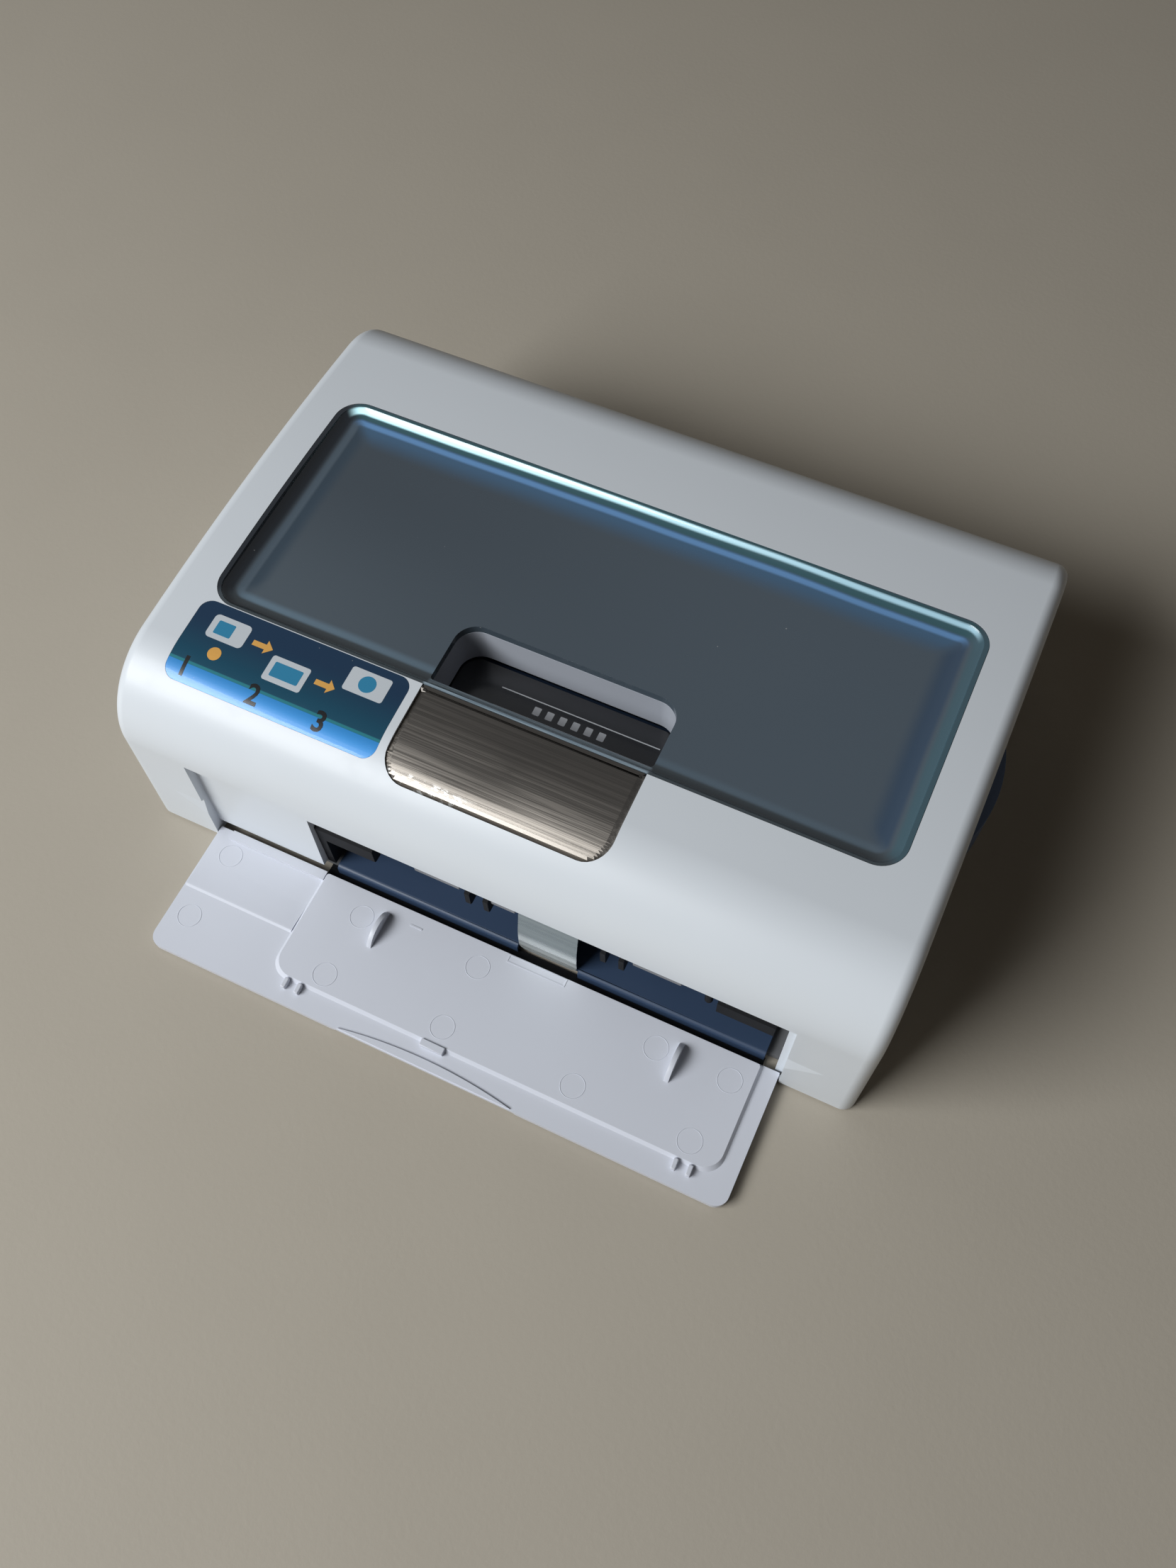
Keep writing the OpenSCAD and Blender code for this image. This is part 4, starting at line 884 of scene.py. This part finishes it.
class PHOTO_PRINTER_OT_shell(bpy.types.Operator):
    """Builds the white shell with its recess, openings and rounded ends"""
    bl_idname = "photo_printer.shell"
    bl_label = "Shell"

    def execute(self, context):
        form = outer_form(sizes().end_edge / MM)
        case = carve(form, "DIFFERENCE", section_bar(-INNER_X, INNER_X, WALL, FOOT_Z - 3, 0.4),
                     block((-RECESS_X, -BODY_D, FOOT_Z - 1), (RECESS_X, wall_y(-1, 0, 4), RECESS_TOP)))
        cheeks = [block((min(s * RECESS_X, s * 73), wall_y(-1, 6) + 0.02, FOOT_Z),
                        (max(s * RECESS_X, s * 73), wall_y(-1, 0, 4), 6)) for s in (-1, 1)]
        posts = carve(joined(*[rod(4.5, BODY_H, (x, y), 4, "Z", 24) for x in (-78, 78) for y in (-52, 52)]),
                      "INTERSECT", section_bar(-INNER_X, INNER_X, WALL / 2))
        case = carve(case, "UNION", recess_wall(-RECESS_X - 0.3, SLOT_X0, 4.6),
                     recess_wall(SLOT_X1, RECESS_X + 0.3, FOOT_Z), *cheeks, posts)
        holes = [
            slab(WINDOW, 46, OVER_TOP, 6, 6, 12),
            over_skin((BADGE[0] - 0.1, BADGE[1] - 0.1, BADGE[2] + 0.1, WINDOW[1] + 1), 1.0, (5.6, 0.5)),
            over_skin(grown(LABEL, 0.05), 0.17, (2.8, 2.8)),
            bar(rectangle(*grown(CASSETTE_PLATE, 0.3)), "X", INNER_X - 1, BODY_W, (2, 2, 2, 2)),
            bar(rectangle(*BUTTON_HOLE), "X", -BODY_W, -INNER_X + 1, (2, 2, 2, 2)),
            rod(-BODY_W, -INNER_X + 1, LAMP_AT, LAMP_R),
            block((-41, BACK_INSIDE, 14), (67, BODY_D, 20.5)),
            joined(*[block((x0, BACK_INSIDE, SOCKET_Z - half), (x1, BODY_D, SOCKET_Z + half))
                     for x0, x1, half in ((42.7, 53.3, 5.3), (22.7, 35.3, 5.7), (0.9, 15.1, 3.3))]),
            joined(*[block((-76 + 4 * i, BACK_INSIDE, 30), (-74.2 + 4 * i, BODY_D, 43)) for i in range(8)]),
            joined(groove_tip(-1), groove_tip(1)),
        ]
        case = carve(case, "DIFFERENCE", *holes)
        add_piece("shell_moulding", case, "case_white", "housing", ("upper_case",), angle=24)
        return {"FINISHED"}


# ---- Window, pocket, badge and label ----

class PHOTO_PRINTER_OT_window(bpy.types.Operator):
    """Builds the dished smoky panel and the pocket under it"""
    bl_idname = "photo_printer.window"
    bl_label = "Window Panel"

    def execute(self, context):
        panel = carve(section_bar(-BODY_W, BODY_W, 0.05, FOOT_Z - 3), "INTERSECT",
                      slab(grown(WINDOW, -0.1), PANEL_FOOT, OVER_TOP, 5.9, 5.9, 12))
        fall = [
            (0.0, 3.4), (0.04, 1.8), (0.12, 1.25), (0.25, 0.8), (0.4, 0.48), (0.56, 0.26), (0.74, 0.1), (1.0, 0.0)]
        dish = loft([ring((-75.5 + 6.6 * part, -29.9 + 3.4 * part, 75.5 - 6.6 * part, 29.2 - 6.8 * part),
                          5.0 - 2.2 * part, WINDOW_FLOOR + rise) for part, rise in fall])
        pocket = (POCKET, 48, OVER_TOP, 1, 5, 10)
        panel = carve(panel, "DIFFERENCE", dish, slab(*pocket))
        flange = carve(slab(grown(WINDOW, 2.5), PANEL_FOOT, 50.5, 6, 6), "DIFFERENCE", slab(*pocket))
        panel = carve(panel, "UNION", flange)
        add_piece("smoked_panel", panel, "window_smoke", "housing", ("window_panel",), angle=32, bevel=0.18)
        well = carve(slab(grown(POCKET, 1.5), POCKET_FOOT, PANEL_FOOT, 1.5, 6, 10), "DIFFERENCE",
                     slab(POCKET, 38, 51, 1, 5, 10))
        add_piece("pocket_walls", well, "well_grey", "housing", ("pocket_well",), bevel=0.15)
        return {"FINISHED"}


class PHOTO_PRINTER_OT_badge(bpy.types.Operator):
    """Builds the bevelled metal plate in front of the window"""
    bl_idname = "photo_printer.badge"
    bl_label = "Badge Plate"

    def execute(self, context):
        chamfer = sizes().badge_chamfer / MM
        plate = slab(BADGE, -0.9, -0.05, 5.5, 0.5, 12)
        top = [f for f in plate.faces if f.normal.z > 0.9]
        bmesh.ops.inset_region(plate, faces=top, thickness=chamfer, depth=0.0, use_even_offset=True)
        slice_depth(plate, BADGE[1], BADGE[3], 0.6)
        rim = [v for v in plate.verts if v.co.z > -0.1 and v.co.y < BADGE[3] - 0.9
               and any(abs(f.normal.z) < 0.5 for f in v.link_faces)]
        bmesh.ops.translate(plate, vec=(0, 0, -0.55), verts=rim)
        over_crown(plate)
        add_piece("badge_face", plate, "badge_metal", "housing", ("badge_plate",), angle=18, bevel=0.08)
        return {"FINISHED"}


def flat_text(words, x, y):
    """Digits as a flat mesh, centred on x with their foot at y."""
    curve = bpy.data.curves.new("digits", "FONT")
    curve.body, curve.size, curve.align_x, curve.offset = words, 5.8, "CENTER", 0.14
    curve.resolution_u = 3
    holder = bpy.data.objects.new("digits", curve)
    bpy.context.scene.collection.objects.link(holder)
    mesh = bpy.data.meshes.new_from_object(holder.evaluated_get(bpy.context.evaluated_depsgraph_get()))
    bm = bmesh.new()
    bm.from_mesh(mesh)
    bpy.data.objects.remove(holder)
    bpy.data.curves.remove(curve)
    bpy.data.meshes.remove(mesh)
    bmesh.ops.remove_doubles(bm, verts=bm.verts, dist=1e-4)
    return moved(bm, (x, y, 0))


def print_on_top(name, flats, tint, lift=0.0):
    """Lays flat shapes on the label as a thin layer of ink."""
    bm = joined(*flats)
    raise_face(bm, (0, 0, 0.02))
    slice_depth(bm, LABEL[1], LABEL[3], 0.8)
    over_crown(bm, lift)
    add_piece(name, bm, "label_blue", "housing", angle=40, material=ink("ink_" + name, tint)).modifiers.clear()


def card(box, radius):
    """A flat rectangle with rounded corners."""
    return round_corners(poly(rectangle(*box)), [radius] * 4, 5)


def arrow(x, y, reach):
    """An arrow that points along X from its foot at x, y."""
    return poly([(x, y - 0.6), (x + 3, y - 0.6), (x + 3, y - 1.6), (x + reach, y), (x + 3, y + 1.6),
                 (x + 3, y + 0.6), (x, y + 0.6)])


def disc(x, y, radius):
    bm = bmesh.new()
    bmesh.ops.create_circle(bm, cap_ends=True, segments=28, radius=radius)
    return moved(bm, (x, y, 0))


class PHOTO_PRINTER_OT_label(bpy.types.Operator):
    """Builds the printed label with its three numbered steps"""
    bl_idname = "photo_printer.label"
    bl_label = "Printed Label"

    def execute(self, context):
        corner = sizes().label_corner / MM
        sheet = slab(LABEL, -0.16, -0.02, corner, corner)
        slice_depth(sheet, LABEL[1], LABEL[3], 0.7)
        over_crown(sheet)
        add_piece("label_sheet", sheet, "label_blue", "housing", ("instruction_label",), angle=40).modifiers.clear()
        print_on_top("label_numbers", [flat_text(digit, x, y) for digit, x, y in (
            ("1", -72.3, -48.1), ("2", -55.7, -48.2), ("3", -40.2, -48.1))], (0.004, 0.004, 0.005))
        print_on_top("label_cards", [
            card((-72.0, -38.6, -63.2, -33.0), 1.0), card((-56.0, -42.6, -47.0, -36.8), 0.6),
            card((-39.6, -38.0, -30.4, -32.4), 0.6)], (0.62, 0.66, 0.70))
        print_on_top("label_accents", [
            arrow(-61.6, -36.0, 4.8), arrow(-45.2, -38.8, 4.6), disc(-67.6, -41.6, 1.5)], (0.80, 0.42, 0.10))
        print_on_top("label_screens", [
            card((-70.6, -37.4, -66.6, -34.2), 0.3), card((-54.8, -41.4, -48.2, -38.0), 0.3),
            disc(-35.0, -35.2, 1.9)], (0.03, 0.24, 0.42), 0.015)
        return {"FINISHED"}


# ---- Front door ----

def at_door(bm):
    """Moves a mesh drawn as (x, v, w) onto the open door: v runs away from the hinge, w is up."""
    bmesh.ops.scale(bm, vec=(1, -1, 1), verts=bm.verts)
    bmesh.ops.reverse_faces(bm, faces=bm.faces[:])
    return moved(bm, (0, AXIS_Y, AXIS_Z))


def sloped_pad(low_box, high_box, low, high, radii):
    """A pad whose sides lean in from its foot to its top."""
    bm = slab(low_box, low, high, *radii)
    wide = Vector((low_box[2] - low_box[0], low_box[3] - low_box[1]))
    narrow = Vector((high_box[2] - high_box[0], high_box[3] - high_box[1]))
    for vert in bm.verts:
        if vert.co.z > (low + high) / 2:
            vert.co.x = high_box[0] + (vert.co.x - low_box[0]) * narrow.x / wide.x
            vert.co.y = high_box[1] + (vert.co.y - low_box[1]) * narrow.y / wide.y
    return bm


def ejector_mark(radius, x, v, w):
    """A thin raised circle, made by turning a small triangle once round."""
    bm = bmesh.new()
    seed = [bm.verts.new((radius + a, 0, b)) for a, b in ((-0.14, -0.1), (0, 0.09), (0.14, -0.1))]
    spin(bm, [bm.faces.new(seed)], (0, 0, 0), (0, 0, 1), 2 * math.pi, 48, merge=True)
    bmesh.ops.delete(bm, geom=[f for f in bm.faces if len(f.verts) == 3], context="FACES_ONLY")
    return moved(outward(bm), (x, v, w))


class PHOTO_PRINTER_OT_door(bpy.types.Operator):
    """Builds the open front door with its raised pad, ribs, teeth, clip and ejector marks"""
    bl_idname = "photo_printer.door"
    bl_label = "Front Door"

    def execute(self, context):
        foot, top, pad = DOOR_FOOT, DOOR_TOP, PAD_TOP
        plate = slab((-DOOR_X, foot, DOOR_X, DOOR_LEN), DOOR_UNDER, top, 0.3, 3.0)
        scoop_r = arc_radius(SCOOP_HALF, SCOOP_DEPTH)
        scoop_c = (0, DOOR_LEN - SCOOP_DEPTH + scoop_r)
        outer_groove = bar([(8.5, -0.85), (8.5, -2), (15.5, -2), (15.5, -0.84), (15.2, -0.04)], "X", -80, 80)
        plate = carve(plate, "DIFFERENCE", rod(-2, -0.04, scoop_c, scoop_r, "Z", 720), outer_groove)
        lip = carve(rod(0.5, 1.4, scoop_c, scoop_r, "Z", 720), "INTERSECT",
                    slab((-DOOR_X + 0.3, foot, DOOR_X - 0.3, DOOR_LEN - 0.25), 0, 3, 0.3, 3.0))
        raised = sloped_pad((SLOT_X0, foot, 66.5, 26), (SLOT_X0 + 1.3, foot + 0.3, 65.4, 24.7), 0.2, pad, (0.6, 4.5))
        band = block((-66, foot, 0), (SLOT_X0 + 1, 1.6, pad))
        ridge = bar([(8.2, 0.5), (15.6, 0.5), (15.6, top), (15.1, top + 0.45), (14.6, top + 0.5), (8.2, top)],
                    "X", -DOOR_X + 0.4, SLOT_X0 + 0.6)
        fins = []
        for x in (-23.5, 48.5):
            fin = carve(rod(x - 0.55, x + 0.55, (7, 0), 4.9, "X", 96), "INTERSECT",
                        block((x - 1, 0, pad - 0.3), (x + 1, 14, 6)))
            fins.append(soften(fin, 0.25, 3, 50))
        teeth = [soften(block((x - 0.5, 25.2, 0.5), (x + 0.5, 27.6, 2.3)), 0.2, 2) for x in (-36.2, -32.9, 57, 60.3)]
        clip = soften(block((-2.8, 24.8, 0.5), (2.8, 26.4, 2.3)), 0.15, 2)
        pins = [rod(*sorted((s * 66, s * DOOR_X)), (0, 0), 0.9, "X", 24) for s in (-1, 1)]
        tips = [rod(*sorted((s * 69, s * 71.8)), (0, 0), 0.5, "X", 24) for s in (-1, 1)]
        dash = slab((-17.6, 2.7, -14.6, 3.1), pad - 0.3, pad + 0.12, 0.1)
        frame_line = carve(slab((5.8, -0.2, 20.0, 1.7), pad - 0.3, pad + 0.1), "DIFFERENCE",
                           slab((6.1, 0.1, 19.7, 1.4), pad - 1, pad + 1))
        plate = carve(plate, "UNION", raised, band, ridge, lip)
        plate = joined(plate, *fins, *teeth, clip, *pins, *tips, dash, frame_line)
        add_piece("door_moulding", at_door(plate), "door_white", "door", ("front_door",), angle=22, bevel=0.12)
        marks = [ejector_mark(sizes().ring_radius / MM, *place) for place in (
            (-28.4, 5.8, pad), (0.7, 5.5, pad), (-29.2, 21.1, pad), (0, 20.8, pad), (-63.7, 5.1, top),
            (-64.4, 21.6, top), (43.7, 5.7, pad), (60.7, 5.6, pad), (31.0, 20.6, pad), (58.0, 20.8, pad))]
        add_piece("ejector_marks", at_door(joined(*marks)), "door_white", "door", angle=80).modifiers.clear()
        return {"FINISHED"}


# ---- Paper slot ----

class PHOTO_PRINTER_OT_paper_slot(bpy.types.Operator):
    """Builds the tray floor, the black guide, the grey bars and the spring inside the slot"""
    bl_idname = "photo_printer.paper_slot"
    bl_label = "Paper Slot"

    def execute(self, context):
        lip, front, back = TRAY_LIP, GUIDE_FRONT, GUIDE_BACK
        tray = bar([(-30, 2.6), (-30, TRAY_TOP), (lip, TRAY_TOP), (lip, 0.9), (lip + 0.4, 0.9), (lip + 0.4, 2.6)],
                   "X", *TRAY_X, (0, 0, 1.2, 0, 0, 0))
        tray = carve(tray, "DIFFERENCE", block((LEAF_X[0] - 0.3, lip - 1, 0), (LEAF_X[1] + 0.3, -57, 5)))
        add_piece("tray_floor", tray, "tray_navy", "housing", ("feed_tray",), bevel=0.12)
        sill = joined(block((GUIDE_X[0], -59.3, 0.3), (GUIDE_X[1], front, 0.7)),
                      block((GUIDE_X[0], -57.3, 0.3), (-39.4, -50, 0.7)))
        add_piece("slot_sill", sill, "guide_black", "housing")
        beam = bar([(wall_y(-1, BEAM_Z, WALL) + 0.02, BEAM_Z), (back, BEAM_Z), (back, 37), (front, 37),
                    (-57.6, BEAM_Z + 0.5)], "X", *GUIDE_X)
        rib = [(front, 16.6), (-56.6, 16), (back, 16), (back, BEAM_Z + 0.1), (-56.6, BEAM_Z + 0.1), (-56.6, 22),
               (front, 21.4)]
        ribs = [bar(rib, "X", x0, x1) for x0, x1 in (
            (GUIDE_X[0], -27.5), (-5.1, -3.9), (-0.7, 0.5), (26.7, 27.9), (30.9, 32.1), (53, GUIDE_X[1]))]
        pin = rod(18, BEAM_Z + 0.1, (50.8, -55.8), 0.9, "Z", 24)
        cheek = block((GUIDE_X[0], front, 4.5), (-39.8, -50, 20))
        guide = carve(beam, "UNION", *ribs, pin, cheek)
        add_piece("slot_guide", guide, "guide_black", "housing", ("front_guide",), bevel=0.15)
        bars = [block((x0, -56.5, 20.3), (x1, -54.9, BEAM_Z)) for x0, x1 in ((-17.5, -6.6), (0.9, 6.6), (33.8, 44.8))]
        add_piece("slot_bars", joined(*bars), "bar_grey", "housing", ("guide_bars",), bevel=0.2)
        line = [(-55.1, BEAM_Z), (-55.1, 24), (-57.1, 12.5), (-57.45, 8), (-57.45, 3.2)]
        leaf = bar(line + [(y + 0.3, z) for y, z in reversed(line)], "X", *LEAF_X, (0, 2, 2, 2, 0, 0, 2, 2, 2, 0))
        feet = [e for e in leaf.edges if abs(e.verts[0].co.x - e.verts[1].co.x) < 1e-6
                and max(v.co.z for v in e.verts) < 3.3]
        cut_bevel(leaf, feet, 2.0, 6)
        add_piece("spring_leaf", leaf, "leaf_steel", "housing", ("pressure_leaf",), angle=28)
        return {"FINISHED"}


# ---- Ribbon cassette ----

class PHOTO_PRINTER_OT_cassette(bpy.types.Operator):
    """Builds the cassette's grip, its label and its reels"""
    bl_idname = "photo_printer.cassette"
    bl_label = "Ribbon Cassette"

    def execute(self, context):
        side = BODY_W / 2
        plate = bar(rectangle(*CASSETTE_PLATE), "X", 80, side, (2, 2, 2, 2))
        bulge_r = arc_radius(GRIP_HALF, GRIP_OUT)
        bulge = rod(*GRIP_Z, (side + GRIP_OUT - bulge_r, GRIP_Y), bulge_r, "Z", 360)
        bulge = carve(bulge, "INTERSECT", block((side - 0.4, -20, 22), (95, 26, 40)))
        soften(bulge, 0.9, 4, 40)
        grip = carve(plate, "UNION", bulge)
        add_piece("cassette_cap", grip, "cassette_navy", "ribbon_cassette", ("cassette_grip",), bevel=0.25)
        sheet = slab((-28, -27.3, 28, -12.7), CARD_TOP - 0.2, CARD_TOP, 1)
        add_piece("cassette_card", sheet, "cassette_print", "ribbon_cassette", ("cassette_label",)).modifiers.clear()
        printed = (CARD_TOP - 0.02, CARD_TOP + 0.03)
        rules = joined(
            slab((-14.6, -17.35, 22.2, -17.1), *printed), slab((-14.6, -21.9, 22.2, -21.75), *printed),
            *[slab((x, -20.6, x + 1.6, -18.6), *printed, 0.2) for x in (-6.0, -3.0, 0.0, 3.0, 6.0, 9.0)])
        add_piece("card_rules", rules, "cassette_print", "ribbon_cassette",
                  material=ink("ink_white", (0.72, 0.73, 0.75))).modifiers.clear()
        for node, bevel in (
                ("cassette_case", 0.3), ("cassette_bridges", 0.2), ("ribbon_web", 0.0), ("supply_spool", 0.2),
                ("supply_film", 0.1), ("takeup_spool", 0.2), ("takeup_film", 0.1)):
            carry_over(node, bevel)
        return {"FINISHED"}


# ---- Pieces that keep their CAD form ----

# By operator: the nodes and the width of their edges' bevel
CARRIED = {
    "underside": (("bottom_case", 0.3), ("rubber_feet", 0.3), ("case_screws", 0.12)),
    "controls": (("power_button", 0.25), ("power_lamp", 0.15), ("switch_board", 0.1)),
    "electronics": (("main_board", 0.1), ("board_chips", 0.12), ("board_screws", 0.1), ("dc_inlet", 0.2),
                    ("usb_ports", 0.1)),
    "chassis": (("left_side_plate", 0.15), ("right_side_plate", 0.15), ("chassis_tie_bar", 0.15),
                ("paper_deck", 0.2), ("rear_paper_guide", 0.2), ("platen_bearings", 0.15),
                ("capstan_bearings", 0.15), ("pickup_bearings", 0.15), ("pinch_holders", 0.15),
                ("head_pivot_shaft", 0.2), ("idler_studs", 0.15)),
    "rollers": (("platen_shaft", 0.2), ("platen_rubber", 0.2), ("capstan_roller", 0.15), ("pinch_roller", 0.2),
                ("pickup_shaft", 0.2), ("pickup_tyres", 0.3)),
    "gears": (("drive_motor", 0.3), ("motor_bracket", 0.15), ("motor_pinion", 0.0), ("reduction_gear", 0.0),
              ("takeup_gear", 0.0), ("supply_hub", 0.15), ("idler_gear_rear", 0.0), ("idler_gear_front", 0.0),
              ("capstan_gear", 0.0), ("pickup_gear", 0.0)),
    "print_head": (("head_arm", 0.15), ("head_heatsink", 0.15), ("thermal_head", 0.15)),
}


def carried_operator(key, label, text):
    """An operator that carries over one group of CAD nodes."""
    def execute(self, context):
        for node, bevel in CARRIED[key]:
            carry_over(node, bevel)
        return {"FINISHED"}
    return type("PHOTO_PRINTER_OT_" + key, (bpy.types.Operator,), {
        "__doc__": text, "bl_idname": "photo_printer." + key, "bl_label": label, "execute": execute})


CARRIED_OPERATORS = [
    carried_operator("underside", "Underside", "Finishes the base plate, its feet and its screws"),
    carried_operator("controls", "Controls", "Finishes the power button, its lamp and its switch"),
    carried_operator("electronics", "Electronics", "Finishes the circuit board and the sockets at the back"),
    carried_operator("chassis", "Chassis", "Finishes the side plates, guides and bearings"),
    carried_operator("rollers", "Rollers", "Finishes the paper rollers"),
    carried_operator("gears", "Gears", "Finishes the motor and its gear train"),
    carried_operator("print_head", "Print Head", "Finishes the print head and its arm"),
]


# ---- Stage ----

class PHOTO_PRINTER_OT_stage(bpy.types.Operator):
    """Lays the table, hangs the soft lights and sets the camera"""
    bl_idname = "photo_printer.stage"
    bl_label = "Table, Light and Camera"

    def execute(self, context):
        scene = context.scene
        light = scene.printer_light
        bm = bmesh.new()
        bmesh.ops.create_grid(bm, x_segments=8, y_segments=8, size=TABLE_HALF)
        mesh = bpy.data.meshes.new("table")
        bm.to_mesh(mesh)
        bm.free()
        table = bpy.data.objects.new("table", mesh)
        scene.collection.objects.link(table)
        top = plastic("table_top", light.floor, 0.6, 0.25, 700.0, 0.00006, 0.0, specular=0.15, deep=0.94)
        mesh.materials.append(top)
        for name, place, size, power, tint in (
                ("window_light", (-0.56, -0.66, 0.70), (0.7, 0.5), light.key, (0.95, 0.98, 1.0)),
                ("back_light", (-0.7, 0.9, 1.2), (1.0, 1.0), light.key * 0.015, (1.0, 0.97, 0.93))):
            lamp = bpy.data.lights.new(name, "AREA")
            lamp.shape, lamp.size, lamp.size_y, lamp.energy, lamp.color = "RECTANGLE", *size, power, tint
            holder = bpy.data.objects.new(name, lamp)
            holder.location = place
            holder.rotation_euler = (Vector((0, 0, 0.02)) - Vector(place)).to_track_quat("-Z", "Y").to_euler()
            scene.collection.objects.link(holder)
        world = bpy.data.worlds.new("room")
        world.use_nodes = True
        world.node_tree.nodes.clear()
        graph = Graph(world.node_tree)
        path = graph.node("LightPath")
        seen = graph.math("MAXIMUM", path.outputs["Is Camera Ray"], path.outputs["Is Transmission Ray"])
        seen = graph.math("MAXIMUM", seen, path.outputs["Is Glossy Ray"])
        even = graph.node("Background", {"Color": (1.0, 0.86, 0.68, 1), "Strength": light.fill})
        pale = graph.node("Background", {"Color": (0.72, 0.76, 0.82, 1), "Strength": 0.34})
        both = graph.node("MixShader", {0: seen, 1: even.outputs[0], 2: pale.outputs[0]})
        output = graph.node("OutputWorld")
        graph.feed(both.outputs[0], output.inputs[0])
        scene.world = world
        lens = bpy.data.cameras.new("photo_view")
        lens.sensor_width, lens.lens, lens.clip_start = SENSOR, FOCAL_PX * SENSOR / PHOTO_PX, 0.01
        camera = bpy.data.objects.new("photo_view", lens)
        right = Vector((0.90550229, 0.4239383, -0.01849121))
        down = Vector((0.37010389, -0.81033122, -0.45429773))
        ahead = Vector((-0.20757821, 0.40452396, -0.89065799))
        turn = Matrix((right, -down, -ahead)).transposed().to_4x4()
        camera.matrix_world = Matrix.Translation((0.07061, -0.14502, 0.29083)) @ turn
        scene.collection.objects.link(camera)
        scene.camera = camera
        scene.view_settings.view_transform = "Standard"
        return {"FINISHED"}


# ---- Panel, registration and the build itself ----

PIECE_OPERATORS = [
    PHOTO_PRINTER_OT_shell, PHOTO_PRINTER_OT_window, PHOTO_PRINTER_OT_badge, PHOTO_PRINTER_OT_label,
    PHOTO_PRINTER_OT_door, PHOTO_PRINTER_OT_paper_slot, PHOTO_PRINTER_OT_cassette, *CARRIED_OPERATORS,
    PHOTO_PRINTER_OT_stage,
]


class PHOTO_PRINTER_PT_panel(bpy.types.Panel):
    """Lists the printer's pieces and the values that they are built from"""
    bl_idname = "PHOTO_PRINTER_PT_panel"
    bl_label = "Photo Printer"
    bl_space_type = "VIEW_3D"
    bl_region_type = "UI"
    bl_category = "Photo Printer"

    def draw(self, context):
        for group in (context.scene.printer_sizes, context.scene.printer_colours, context.scene.printer_light):
            for name in group.__annotations__:
                self.layout.prop(group, name)
        for operator in PIECE_OPERATORS:
            self.layout.operator(operator.bl_idname)


CLASSES = [PrinterSizes, PrinterColours, StudioLight, *PIECE_OPERATORS, PHOTO_PRINTER_PT_panel]


def register():
    for kind in CLASSES:
        bpy.utils.register_class(kind)
    bpy.types.Scene.printer_sizes = bpy.props.PointerProperty(type=PrinterSizes)
    bpy.types.Scene.printer_colours = bpy.props.PointerProperty(type=PrinterColours)
    bpy.types.Scene.printer_light = bpy.props.PointerProperty(type=StudioLight)


def unregister():
    del bpy.types.Scene.printer_sizes, bpy.types.Scene.printer_colours, bpy.types.Scene.printer_light
    for kind in reversed(CLASSES):
        bpy.utils.unregister_class(kind)


def main():
    register()
    make_moulded_skin()
    make_brushed_face()
    make_dust()
    for operator in PIECE_OPERATORS:
        family, name = operator.bl_idname.split(".")
        getattr(getattr(bpy.ops, family), name)()


if __name__ == "__main__":
    main()
